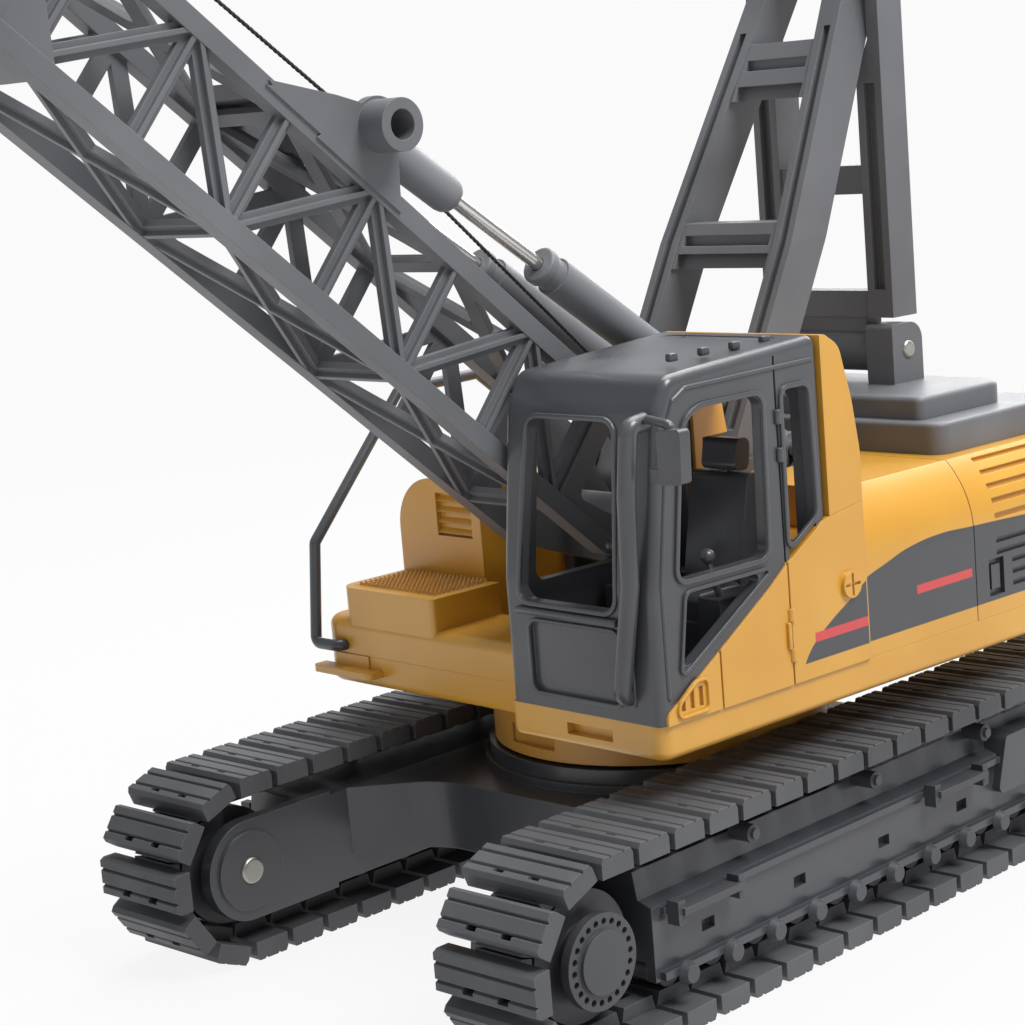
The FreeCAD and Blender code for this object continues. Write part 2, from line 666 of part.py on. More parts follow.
def gantry_mast():
    y_low, y_top = mast_front(mast_low_z), mast_front(mast_top_z)
    d = mast_depth_y
    side = prism_x([(y_low, mast_low_z), (y_low + d, mast_low_z), (y_top + d, mast_top_z), (y_top, mast_top_z)],
                   -30, 30, [2.4, 2.4, 2.4, 2.4])
    drop = (mast_top_z - mast_kink_z) * mast_taper
    inner = mast_out - mast_leg_w
    leg_front = [(inner, mast_low_z), (mast_out, mast_low_z), (mast_out, mast_kink_z),
                 (mast_out - drop, mast_top_z), (inner - drop - 0.3, mast_top_z), (inner, mast_kink_z)]
    leg = prism_y(leg_front, -30, 60).common(side)
    # channel down the front face of each leg
    shift = 0.95
    gx0, gx1 = inner + 0.9, mast_out - 0.9
    gdrop = (96.0 - mast_kink_z) * mast_taper
    groove_front = [(gx0, 52.0), (gx1, 52.0), (gx1, mast_kink_z), (gx1 - gdrop, 96.0),
                    (gx0 - gdrop, 96.0), (gx0, mast_kink_z)]
    y52, y96 = mast_front(52.0), mast_front(96.0)
    skin = prism_x([(y52 - 3, 52.0), (y52 + shift, 52.0), (y96 + shift, 96.0), (y96 - 3, 96.0)], -30, 30)
    leg = leg.cut(prism_y(groove_front, -30, 60).common(skin))
    bars = []
    for z0, z1 in ((69.1, 74.2), (88.0, 94.6)):
        w = inner + 0.3 - max(0.0, (z1 - mast_kink_z) * mast_taper)
        y0, y1 = mast_front(z0), mast_front(z1)
        bar = prism_x([(y0 + 0.2, z0), (y0 + 3.6, z0), (y1 + 3.6, z1), (y1 + 0.2, z1)], -w, w)
        zc = z0 + (z1 - z0) * 0.62
        yc = mast_front(zc)
        slot = prism_x([(yc - 2, zc - 0.6), (yc + 1.1, zc - 0.6), (yc + 1.1, zc + 0.6), (yc - 2, zc + 0.6)],
                       -w + 0.9, w - 0.9)
        low = prism_x([(y0 - 2, z0 - 0.1), (y0 + 1.3, z0 - 0.1), (mast_front(z0 + 1.7) + 1.3, z0 + 1.7),
                       (mast_front(z0 + 1.7) - 2, z0 + 1.7)], -w + 0.5, w - 0.5)
        bars.append(bar.cut(slot).cut(low))
    mast = fuse(both_sides(leg) + bars)
    mast = mast.cut(cyl_x(1.2, -20, 20, mast_foot_y, mast_foot_z))
    return mast.cut(cyl_x(1.1, -20, 20, strut_mid_y, gantry_pin_z))


save("turntable_ring", turntable_ring())
save("house_deck", house_deck())
save("right_deck", right_deck())
save("tread_plate", tread_plate())
save("tank_box", tank_box())
panel_right = side_panel("right").cut(cyl_x(1.0 + pin_gap, -40, -10, drum_y, drum_z))
save("side_panel_left", side_panel("left"))
save("side_panel_right", panel_right)
save("engine_hood", engine_hood())
save("counterweight", counterweight())
save("rear_cover", rear_cover())
save("gantry_base", gantry_base())
save("gantry_strut", gantry_strut())
save("gantry_mast", gantry_mast())


# ---- pins, brackets and winch in the house ----
def foot_bracket():
    cheek = prism_x([(-1.9, deck_top_z), (20.9, deck_top_z), (20.9, 50.2), (15.7, 50.2), (12.6, 45.0),
                     (9.2, 49.0), (2.9, 49.0), (-1.9, 42.0)], mast_out + 0.25, pit_half_w - 0.1,
                    [0, 0, 2.4, 2.4, 2.0, 2.6, 2.6, 2.0])
    floor = box(-pit_half_w + 0.1, pit_half_w - 0.1, -1.9, 20.9, deck_top_z, deck_top_z + 1.2)
    bracket = fuse(both_sides(cheek) + [floor])
    for r, y, z in ((pin_r, foot_y, foot_z), (1.2, mast_foot_y, mast_foot_z),
                    (1.0, barrel_base_y, barrel_base_z), (1.0 + pin_gap, drum_y, drum_z)):
        bracket = bracket.cut(cyl_x(r, -20, 20, y, z))
    return bracket


def bracket_pins():
    x = pit_half_w - 0.2
    return [cyl_x(pin_r, -x, x, foot_y, foot_z), cyl_x(1.2, -x, x, mast_foot_y, mast_foot_z),
            cyl_x(1.0, -x, x, barrel_base_y, barrel_base_z)]


def gantry_pins():
    x = strut_out + 0.5
    head = fillet(cyl_x(1.1, -x, x, strut_mid_y, gantry_pin_z), 0.4, lambda e: True)
    foot = fillet(cyl_x(1.1, -x, x, strut_mid_y, lug_pin_z), 0.4, lambda e: True)
    return [head, foot]


def sheave(r, half, x, y, z, bore):
    disc = cyl_x(r, x - half, x + half, y, z)
    ring_ = Part.makeTorus(r + 0.12, half * 0.62, V(x, y, z), V(1, 0, 0))
    return disc.cut(ring_).cut(cyl_x(bore, x - half - 1, x + half + 1, y, z))


def gantry_sheaves():
    return [sheave(3.4, 0.9, x, strut_mid_y, gantry_pin_z, 1.1 + pin_gap) for x in (-1.95, 0.0, 1.95)]


winch_x0, winch_x1 = -6.2, 6.2


def winch_drum():
    core = cyl_x(drum_r - 0.45, winch_x0, winch_x1, drum_y, drum_z)
    flanges = [cyl_x(drum_r + 1.0, x, x + 0.9, drum_y, drum_z) for x in (winch_x0, winch_x1 - 0.9)]
    wraps = []
    count = 9
    for i in range(count):
        x = -count * 0.5 + 0.5 + i
        wraps.append(Part.makeTorus(drum_r - 0.3, 0.46, V(x, drum_y, drum_z), V(1, 0, 0)))
    shaft = cyl_x(1.0, -house_half_w - 1.6, pit_half_w - 0.3, drum_y, drum_z)
    return fuse([core, shaft] + flanges + wraps)


def winch_knob():
    x1 = -house_half_w - gap
    disc = cyl_x(4.2, x1 - 2.6, x1, drum_y, drum_z)
    disc = fillet(disc, 0.5, lambda e: e.BoundBox.XMax < x1 - 1)
    notches = []
    for i in range(16):
        a = 2 * math.pi * i / 16
        notches.append(cyl_x(0.42, x1 - 4, x1 + 1, drum_y + 4.3 * math.cos(a), drum_z + 4.3 * math.sin(a)))
    return disc.cut(Part.Compound(notches)).cut(cyl_x(1.0, x1 - 1.3, x1 + 1, drum_y, drum_z))


save("foot_bracket", foot_bracket())
save("bracket_pins", bracket_pins())
save("gantry_pins", gantry_pins())
save("gantry_sheaves", gantry_sheaves())
save("winch_drum", winch_drum())
save("winch_knob", winch_knob())


# ---- cab ----
cab_x0, cab_x1 = cab_inner_x, house_half_w
mirror_x0 = cab_x1 + 2.1
mirror_y = -29.6


def cab_side(inset):
    i = inset
    return [(cab_front_y + i, deck_top_z + i), (cab_rear_y - i, deck_top_z + i), (cab_rear_y - i, cab_top_z - i),
            (-26.2 + i * 0.5, cab_top_z - 1.4 - i), (-28.0 + i, 59.5 - i * 0.3), (cab_front_y + i, 42.0)]


def side_panel_outline():
    return [(cab_front_y + 0.7, deck_top_z), (1.7, deck_top_z), (1.7, 46.0), (-4.4, 45.2), (-10.5, 41.7),
            (-13.5, 39.6), (-26.8, 31.6), (cab_front_y + 0.7, 30.0)]


def cab_outer():
    outer = prism_x(cab_side(0), cab_x0, cab_x1, [0, 0, 1.2, 2.0, 6.0, 6.0])
    return fillet(outer, 1.0, lambda e: e.BoundBox.XLength < 1e-6 and e.BoundBox.YMax < cab_rear_y - 0.5 and
                  e.BoundBox.ZMin > deck_top_z + 0.5 and e.Length > 0.5)


def cab_shell():
    outer = cab_outer()
    inner = prism_x(cab_side(cab_wall), cab_x0 + cab_wall, cab_x1 - cab_wall, [0, 0, 1.0, 1.2, 5.0, 5.0])
    shell = outer.cut(inner).cut(box(cab_x0 + cab_wall, cab_x1 - cab_wall, cab_front_y + 1.4, cab_rear_y - cab_wall,
                                     deck_top_z - 1, deck_top_z + 3))
    front = prism_y([(11.0, 40.0), (24.6, 40.0), (24.2, 58.6), (12.0, 58.6)], cab_front_y - 2, -25.0, 1.4)
    door = prism_x([(-26.6, 42.9), (-13.4, 42.9), (-12.9, 59.4), (-22.4, 59.4), (-24.6, 57.8)], 27, 32,
                   [1.2, 1.2, 1.4, 1.4, 1.4])
    low = prism_x([(-26.9, 33.6), (-13.2, 41.5), (-25.6, 41.5)], 27, 32, [0.8, 0.6, 1.2])
    quarter = prism_x([(-9.9, 39.3), (-5.4, 42.3), (-5.8, 59.4), (-9.7, 59.4)], 27, 32, 0.9)
    away = prism_x([(-26.6, 41.0), (-6.6, 41.0), (-6.6, 58.8), (-22.4, 58.8), (-24.6, 57.4)], 7, 10.5,
                   [1.2, 1.2, 1.4, 1.4, 1.4])
    back = prism_y([(11.4, 42.0), (26.8, 42.0), (26.8, 58.6), (11.4, 58.6)], -8, 1, 1.4)
    front_recess = prism_y([(12.2, 30.6), (25.0, 30.6), (25.0, 37.9), (12.2, 37.9)], cab_front_y - 1,
                           cab_front_y + 0.35, 1.0)
    shell = shell.cut(Part.Compound([front, door, low, quarter, away, back, front_recess]))
    panel_room = prism_x(side_panel_outline(), cab_x1 - 0.9, cab_x1 + 1, [0, 0, 0, 3.0, 3.0, 3.0, 3.0, 0.8])
    shell = shell.cut(panel_room)
    door_gap = box(cab_x1 - 0.35, cab_x1 + 1, -10.75, -10.45, 40.0, 63.0)
    roof_plan = prism_z([(cab_x0 + 2.2, -24.2), (cab_x1 - 2.6, -24.2), (cab_x1 - 2.6, -6.0), (cab_x0 + 2.2, -6.0)],
                        cab_top_z - 0.25, cab_top_z + 1, 2.0)
    return shell.cut(door_gap).cut(roof_plan)


def cab_rear_frame():
    y0, y1 = cab_rear_y + 0.02, frame_rear_y
    side = [(y0, deck_top_z), (y1, deck_top_z), (y1, 51.5), (y1 - 0.9, 57.0), (-0.6, 62.8), (y0 + 0.8, cab_top_z - 0.2),
            (y0, cab_top_z - 0.2)]
    frame_ = prism_x(side, cab_x0, cab_x1 + 0.25, [0, 0, 8, 8, 2.4, 0.8, 0])
    window = prism_y([(11.8, 42.4), (26.4, 42.4), (26.4, 58.2), (11.8, 58.2)], -8, 4, 1.4)
    frame_ = frame_.cut(window).cut(box(cab_x0 - 1, pit_half_w + 0.4, -2.3, 4, deck_top_z - 1, 52.5))
    hollow = box(pit_half_w + 1.6, cab_x1 - 1.4, y0 + 1.2, y1 - 1.2, deck_top_z - 1, 41.0)
    panel_room = prism_x(side_panel_outline(), cab_x1 - 0.9, cab_x1 + 1, [0, 0, 0, 3.0, 3.0, 3.0, 3.0, 0.8])
    return frame_.cut(hollow).cut(panel_room)


def cab_side_panel():
    panel = prism_x(side_panel_outline(), cab_x1 - 0.9, cab_x1 + 0.3, [0, 0, 0, 3.0, 3.0, 3.0, 3.0, 0.8])
    seam = box(cab_x1, cab_x1 + 1, -21.65, -21.4, deck_top_z - 1, 36.0)
    seam2 = box(cab_x1, cab_x1 + 1, -10.75, -10.5, deck_top_z - 1, 42.0)
    vents = [box(cab_x1 - 0.1, cab_x1 + 1, -27.6 + i * 1.3, -27.0 + i * 1.3, 30.0, 32.0) for i in range(3)]
    screw = cyl_x(1.45, cab_x1 + 0.3, cab_x1 + 0.75, -1.0, 37.6)
    screw = screw.cut(box(cab_x1 + 0.5, cab_x1 + 2, -2.2, 0.2, 37.45, 37.75)).cut(
        box(cab_x1 + 0.5, cab_x1 + 2, -1.15, -0.85, 36.4, 38.8))
    hinges = [fuse([cyl_z(0.42, z, z + 1.3, cab_x1 + 0.3, -10.6)]) for z in (31.4, 35.6)]
    return fuse([panel.cut(Part.Compound([seam, seam2] + vents)), screw] + hinges)


def cab_base():
    x0, x1 = cab_x0 + cab_wall, cab_x1 - cab_wall
    floor = box(x0, x1, cab_front_y + 1.4, cab_rear_y - cab_wall, deck_top_z, deck_top_z + 2.2)
    plinth = box(x0 + 4.6, x1 - 4.6, -17.0, -6.6, deck_top_z + 2.2, 36.0)
    console = box(x1 - 4.4, x1 - 1.4, -18.0, -7.0, deck_top_z + 2.2, 39.0)
    console2 = box(x0 + 1.4, x0 + 4.4, -18.0, -7.0, deck_top_z + 2.2, 39.0)
    dash = prism_x([(-27.6, deck_top_z + 2.2), (-24.8, deck_top_z + 2.2), (-25.8, 38.4), (-27.6, 38.4)],
                   x0 + 6.0, x0 + 11.0)
    return fuse([floor, plinth, console, console2, dash])


seat_x = (cab_x0 + cab_x1) / 2


def driver_seat():
    cushion = box(seat_x - 4.2, seat_x + 4.2, -16.6, -8.2, 36.0, 39.0)
    cushion = fillet(cushion, 1.1, lambda e: e.BoundBox.ZMin > 38.9)
    back = prism_x([(-10.4, 38.0), (-7.2, 38.0), (-5.6, 50.0), (-8.0, 50.0)], seat_x - 4.0, seat_x + 4.0, 1.0)
    head = prism_x([(-8.2, 50.2), (-5.9, 50.2), (-5.5, 53.6), (-7.5, 53.6)], seat_x - 2.4, seat_x + 2.4, 0.8)
    neck = box(seat_x - 0.6, seat_x + 0.6, -7.4, -6.4, 49.0, 51.0)
    return fuse([cushion, back, head, neck])


def control_levers():
    out = []
    for x in (cab_x0 + cab_wall + 2.9, cab_x1 - cab_wall - 2.9):
        stick = rod_between(V(x, -16.2, 38.4), V(x, -17.8, 43.2), 0.35)
        stick = stick.cut(box(x - 2, x + 2, -20, -10, 30, 39.0))
        knob = Part.makeSphere(0.8, V(x, -17.8, 43.4))
        out.append(fuse([stick, knob]))
    return out


def tube(points, r, bends):
    # straight runs joined by arcs
    edges = []
    last = points[0]
    for i in range(1, len(points) - 1):
        a, p, b = points[i - 1], points[i], points[i + 1]
        da, db = (a - p).normalize(), (b - p).normalize()
        half = da.getAngle(db) / 2
        cut = bends / math.tan(half)
        start, end = p + da * cut, p + db * cut
        mid = p + (da + db).normalize() * (bends / math.sin(half) - bends)
        edges.append(Part.makeLine(last, start))
        edges.append(Part.Arc(start, mid, end).toShape())
        last = end
    edges.append(Part.makeLine(last, points[-1]))
    path = Part.Wire(edges)
    ring_ = Part.Wire(Part.makeCircle(r, points[0], points[1] - points[0]))
    return path.makePipeShell([ring_], True, False)


def mirror():
    y = mirror_y
    arm = tube([V(28.2, y + 1.6, 58.9), V(30.2, y + 0.4, 59.3), V(mirror_x0 + 1.2, y, 59.0),
                V(mirror_x0 + 1.2, y, 57.0)], 0.45, 0.5)
    head = prism_y([(mirror_x0, 53.2), (mirror_x0 + 3.0, 53.4), (mirror_x0 + 3.2, 58.7), (mirror_x0, 58.5)],
                   y - 0.8, y + 0.6, 0.5)
    tab = box(mirror_x0 - 1.4, mirror_x0 + 0.4, y - 0.5, y + 0.4, 53.3, 54.7)
    return fuse([arm, head, tab])


def grab_bar():
    y = cab_front_y - 1.0
    return tube([V(25.8, cab_front_y + 0.4, 31.6), V(25.8, y, 31.6), V(28.0, y, 43.0), V(28.4, y, 52.0),
                 V(28.6, y + 0.7, 58.6), V(28.6, y + 3.0, 58.9)], 0.95, 0.98)


def handrail():
    return tube([V(-25.6, right_front_y, 29.9), V(-25.6, -26.0, 29.9), V(-29.6, -26.2, 29.9), V(-29.6, -25.0, 41.6),
                 V(-29.6, -10.4, 57.4), V(-29.2, 2.0, 57.8), V(-27.4, 8.0, 52.0), V(-27.0, 8.0, 45.0)], 0.66, 0.9)


save("cab_shell", cab_shell())
save("cab_rear_frame", cab_rear_frame())
save("cab_side_panel", cab_side_panel())
save("cab_base", cab_base())
save("driver_seat", driver_seat())
save("control_levers", control_levers())
cab_block = cab_outer()
grab = grab_bar().cut(cab_block)
save("mirror", mirror().cut(cab_block).cut(grab))
save("grab_bar", grab)
save("handrail", handrail().cut(panel_right))


# ---- boom: built level along -Y from its foot pin, then raised ----
def raised(shape):
    items = shape if isinstance(shape, list) else [shape]
    out = []
    for s in items:
        t = s.copy()
        t.rotate(V(0, 0, 0), V(1, 0, 0), -boom_angle_deg)
        t.translate(V(0, foot_y, foot_z))
        out.append(t)
    return out


def boom_point(u, v, x=0.0):
    a = math.radians(boom_angle_deg)
    return V(x, foot_y - u * math.cos(a) + v * math.sin(a), foot_z + u * math.sin(a) + v * math.cos(a))


def boom_uv(y, z):
    a = math.radians(boom_angle_deg)
    dy, dz = y - foot_y, z - foot_z
    return -dy * math.cos(a) + dz * math.sin(a), dy * math.sin(a) + dz * math.cos(a)


def local(u, v, x):
    return V(x, -u, v)


def plate_uv(uv, x0, x1, radii=None):
    return prism_x([(-u, v) for u, v in uv], x0, x1, radii)


def bar(p, q, width, thick, normal, sink):
    # flat bar from p to q; its outer face lies sink below the plane through p and q along normal
    d = q - p
    length = d.Length
    across = d.cross(normal).normalize()
    n = normal.normalize()
    a = p + across * (width / 2) - n * (sink + thick)
    wire = Part.makePolygon([a, a - across * width, a - across * width + n * thick, a + n * thick, a])
    return Part.Face(wire).extrude(d)


def web_member(p, q, normal):
    flat = bar(p, q, web_w + 0.5, 0.8, V(normal), 0.75)
    rib = bar(p, q, 0.5, 0.9, V(normal), 0.1)
    return [flat, rib]


def truss_nodes(u0, u1):
    out = []
    k = 0
    while first_node_u + k * half_bay < u1 - 1.0:
        u = first_node_u + k * half_bay
        if u > u0 + 1.0:
            out.append((k, u))
        k += 1
    return out


def truss(u0, u1, half_w, half_d):
    # half_w and half_d give the boom's half width and half depth at a station
    nodes = truss_nodes(u0, u1)
    inset = chord / 2
    solids = []
    for sx in (-1, 1):
        for sv in (-1, 1):
            p = local(u0, sv * half_d(u0), sx * half_w(u0))
            q = local(u1, sv * half_d(u1), sx * half_w(u1))
            a = p + V(-sx * inset, 0, -sv * inset)
            b = q + V(-sx * inset, 0, -sv * inset)
            solids.append(bar(a + V(0, 0, sv * inset), b + V(0, 0, sv * inset), chord, chord, V(0, 0, sv), 0.0))
        stations = []
        for k, u in nodes:
            low = local(u, -half_d(u) + inset, sx * half_w(u))
            high = local(u, half_d(u) - inset, sx * half_w(u))
            stations.append((k, low, high))
            solids += web_member(low, high, V(sx, 0, 0))
        for (k, low, high), (_, low2, high2) in zip(stations, stations[1:]):
            a, b = (low, high2) if k % 2 == 0 else (high, low2)
            solids += web_member(a, b, V(sx, 0, 0))
    even = [u for k, u in nodes if k % 2 == 0]
    for sv in (-1, 1):
        for u in even:
            a = local(u, sv * half_d(u), -half_w(u) + 0.6)
            b = local(u, sv * half_d(u), half_w(u) - 0.6)
            solids += web_member(a, b, V(0, 0, sv))
        for u, w in zip(even, even[1:]):
            for s in (-1, 1):
                a = local(u, sv * half_d(u), s * (half_w(u) - inset))
                b = local(w, sv * half_d(w), -s * (half_w(w) - inset))
                solids += web_member(a, b, V(0, 0, sv))
    return solids


def end_frame(u, w, d):
    t = 1.5
    out = []
    for s in (-1, 1):
        out.append(box(min(s * w, s * (w - t)), max(s * w, s * (w - t)), -u - 0.9, -u + 0.9, -d, d))
        out.append(box(-w, w, -u - 0.9, -u + 0.9, min(s * d, s * (d - t)), max(s * d, s * (d - t))))
    return out


def gusset(u0, u1, w, d):
    out = []
    for s in (-1, 1):
        x0, x1 = sorted((s * (w - 0.95), s * (w - 0.05)))
        out.append(plate_uv([(u0, -d + 0.4), (u1, -d + 0.4), (u1, 1.5), (u1 - 3.4, -1.2)], x0, x1))
    low = box(-w + 0.4, w - 0.4, -u1, -u0 - 2.0, -d + 0.05, -d + 0.85)
    for x in (-w * 0.45, w * 0.45):
        low = low.cut(cyl_z(0.95, -d - 1, -d + 2, x, -(u0 + u1) / 2 - 1.0))
    return out + [low]


seam = 0.02
pin_u = base_len - 2.2


def joint_holes(u):
    return [cyl_y(0.6, -u - 6, -u + 6, sx * (boom_half_w - chord / 2), sv * (boom_depth / 2 - chord / 2))
            for sx in (-1, 1) for sv in (-1, 1)]


def full_w(u):
    return boom_half_w


def full_d(u):
    return boom_depth / 2


def boom_base():
    d, w = boom_depth / 2, boom_half_w
    solids = truss(13.0, base_len, full_w, full_d)
    foot_out = w - 0.6
    for s in (-1, 1):
        x0, x1 = sorted((s * (foot_out - 1.7), s * foot_out))
        root = plate_uv([(0, -2.7), (13.5, -d), (23.5, -d), (23.5, d), (13.5, d), (0, 2.7)], x0, x1)
        eye = cyl_x(2.7, x0, x1, 0, 0)
        hole = plate_uv([(6.5, -1.9), (19.5, -4.4), (19.5, 4.4), (6.5, 1.9)], x0 - 1, x1 + 1, 0.8)
        solids += [root.cut(hole), eye]
    cross = cyl_x(1.5, -foot_out, foot_out, -9.5, 0)
    solids.append(cross)
    for s in (-1, 1):                                    # cylinder lugs with their bosses
        x0, x1 = sorted((s * (w - 0.75), s * (w + 0.25)))
        lug = plate_uv([(57.0, d - 1.5), (69.5, d - 1.5), (66.9, lug_v + 0.8), (lug_u + 1.0, lug_v + 2.6),
                        (lug_u - 2.2, lug_v + 1.6), (60.6, lug_v - 0.6)], x0, x1, [0, 0, 1.0, 2.0, 1.5, 1.0])
        b0, b1 = sorted((s * (w + 0.25), s * (w + 0.25 + boss_out)))
        boss = cyl_x(boss_r, b0, b1, -lug_u, lug_v)
        solids += [lug, cyl_x(2.95, x0, x1, -lug_u, lug_v), boss]
    plate = plate_uv([(77.0, d - 0.4), (69.8, lug_v - 0.6), (69.0, lug_v - 1.5), (75.4, d - 1.0)],
                     -w - 0.25, w + 0.25)
    wings = [plate_uv([(69.0, d - 1.0), (77.0, d - 1.0), (69.8, lug_v - 0.6), (67.0, lug_v + 0.6)],
                      *sorted((s * (w - 0.75), s * (w + 0.25)))) for s in (-1, 1)]
    arms = [plate_uv([(75.0, d - 0.5), (62.9, lug_v - 1.2), (62.9, lug_v + 1.2), (66.0, lug_v + 1.2), (73.0, d + 2.2)],
                     *sorted((s * 1.6, s * 2.4)), [0, 1.0, 1.0, 0.5, 0.5]) for s in (-1, 1)]
    solids += [plate] + wings + arms
    solids += end_frame(base_len - 0.9, w, d) + gusset(94.5, base_len - 0.9, w, d)
    whole = fuse(solids)
    whole = whole.cut(cyl_x(pin_r + pin_gap, -20, 20, 0, 0))
    whole = whole.cut(cyl_x(1.5, -20, 20, -lug_u, lug_v))
    return whole.cut(Part.Compound(joint_holes(base_len)))


def boom_middle():
    d, w = boom_depth / 2, boom_half_w
    u0, u1 = base_len + seam, base_len + mid_len
    solids = truss(u0, u1, full_w, full_d)
    for u in (u0 + 0.9, u1 - 0.9):
        solids += end_frame(u, w, d)
    solids += gusset(u1 - 9.0, u1 - 0.9, w, d)
    whole = fuse(solids)
    return whole.cut(Part.Compound(joint_holes(base_len) + joint_holes(base_len + mid_len)))


head_u0 = base_len + mid_len + seam
taper_u1 = head_u0 + head_len - 20.0
sheave_u = head_u0 + head_len - 6.0
head_half_w = 3.9
head_sheave_r = 4.6
line_v = 10.3                                            # where the hoist rope passes above the head


def head_w(u):
    t = (u - head_u0) / (taper_u1 - head_u0)
    return boom_half_w + (head_half_w - boom_half_w) * t


def head_d(u):
    t = (u - head_u0) / (taper_u1 - head_u0)
    return boom_depth / 2 + (head_depth / 2 + 0.6 - boom_depth / 2) * t


sheave_v = 2.4


def boom_head():
    solids = truss(head_u0, taper_u1, head_w, head_d)
    solids += end_frame(head_u0 + 0.9, boom_half_w, boom_depth / 2)
    d1 = head_d(taper_u1)
    for s in (-1, 1):
        x0, x1 = sorted((s * (head_half_w - 1.3), s * head_half_w))
        solids.append(plate_uv([(taper_u1 - 6, -d1), (sheave_u, sheave_v - 3.4), (sheave_u + 3.2, sheave_v),
                                (sheave_u, sheave_v + 3.4), (taper_u1 - 6, d1)], x0, x1,
                               [0, 3.0, 2.0, 3.0, 0]))
    solids.append(box(-head_half_w, head_half_w, -taper_u1 - 0.8, -taper_u1 + 0.8, -d1, d1))
    whole = fuse(solids)
    whole = whole.cut(box(-20, 20, -head_u0, -head_u0 + 20, -20, 20))
    slot = box(-2.0, 2.0, -sheave_u - 8, -taper_u1 - 2.4, -20, 20)
    whole = whole.cut(cyl_x(1.1, -20, 20, -sheave_u, sheave_v)).cut(slot)
    return whole.cut(Part.Compound(joint_holes(base_len + mid_len)))


def boom_pins():
    out = []
    for u in (base_len, base_len + mid_len):
        for sx in (-1, 1):
            for sv in (-1, 1):
                x, v = sx * (boom_half_w - chord / 2), sv * (boom_depth / 2 - chord / 2)
                out.append(cyl_y(0.6, -u - 3, -u + 3, x, v))
    for s in (-1, 1):
        x0, x1 = sorted((s * (boom_half_w - 0.75), s * (boom_half_w + 0.6)))
        out.append(cyl_x(1.5, x0, x1, -lug_u, lug_v))
    out.append(cyl_x(0.6, -2.4, 2.4, -lug_u, lug_v))
    return out


def rope_roller():
    return sheave(3.2, 1.2, 0, -lug_u, lug_v, 0.6 + pin_gap)


base = boom_base()
arm_holes = cyl_x(0.6, -3, 3, -lug_u, lug_v)
save("boom_base", raised(base.cut(arm_holes)))
save("boom_middle", raised(boom_middle()))
save("boom_head", raised(boom_head()))
save("boom_pins", raised(boom_pins()))
save("rope_roller", raised(rope_roller()))
save("head_sheave", raised(sheave(head_sheave_r, 1.5, 0, -sheave_u, sheave_v, 1.1 + pin_gap)))
pin = fillet(cyl_x(1.1, -head_half_w - 0.8, head_half_w + 0.8, -sheave_u, sheave_v), 0.35, lambda e: True)
save("head_pin", raised(pin))

# ---- luffing cylinders, along the line from the house pin to the lug ----
lug_point = boom_point(lug_u, lug_v)
base_point = V(0, barrel_base_y, barrel_base_z)
axis = (base_point - lug_point).normalize()
span = (base_point - lug_point).Length


def on_axis(s, x):
    return V(x, lug_point.y, lug_point.z) + axis * s


def cylinder_rod(x):
    sleeve = Part.makeCylinder(sleeve_r, sleeve_len, on_axis(0, x), axis)
    sleeve = fillet(sleeve, 0.7, lambda e: e.BoundBox.Center.sub(on_axis(sleeve_len, x)).Length < 0.01)
    eye = cyl_x(sleeve_r, x - 2.0, x + 2.0, lug_point.y, lug_point.z)
    rod = Part.makeCylinder(rod_r, 57.0 - sleeve_len, on_axis(sleeve_len, x), axis)
    return fuse([sleeve, eye, rod])


def cylinder_barrel(x):
    s0 = span - barrel_len
    tube_ = Part.makeCylinder(barrel_r, barrel_len - 2.6, on_axis(s0 + 2.6, x), axis)
    neck = Part.makeCylinder(barrel_r - 0.35, 1.7, on_axis(s0 + 1.0, x), axis)
    lip = Part.makeCylinder(barrel_r - 0.05, 1.0, on_axis(s0, x), axis)
    lip = fillet(lip, 0.3, lambda e: e.BoundBox.Center.sub(on_axis(s0, x)).Length < 0.01)
    eye = cyl_x(barrel_r, x - 2.0, x + 2.0, barrel_base_y, barrel_base_z)
    whole = fuse([tube_, neck, lip, eye])
    bore = Part.makeCylinder(rod_r + pin_gap, barrel_len - 3.4 + 1, on_axis(s0 - 1, x), axis)
    return whole.cut(bore).cut(cyl_x(1.0 + pin_gap, x - 5, x + 5, barrel_base_y, barrel_base_z))


save("cylinder_rods", [cylinder_rod(cyl_x_pos) for cyl_x_pos in (cyl_x_off, -cyl_x_off)])
save("cylinder_barrels", [cylinder_barrel(cyl_x_pos) for cyl_x_pos in (cyl_x_off, -cyl_x_off)])

# ---- hoist rope and hook ----
head_point = boom_point(sheave_u, sheave_v)
fall_y = head_point.y - head_sheave_r
block_top = head_point.z - fall_len
wrap_r = head_sheave_r + 0.05


def tangent_line(c1, r1, c2, r2):
    # line touching both circles on their upper side, from circle 1 to circle 2
    d = c2 - c1
    base_a = math.atan2(d.z, d.y)
    turn = math.asin((r2 - r1) / d.Length)
    a = base_a + turn + (-math.pi / 2)
    n = V(0, math.cos(a), math.sin(a))
    return c1 + n * r1, c2 + n * r2


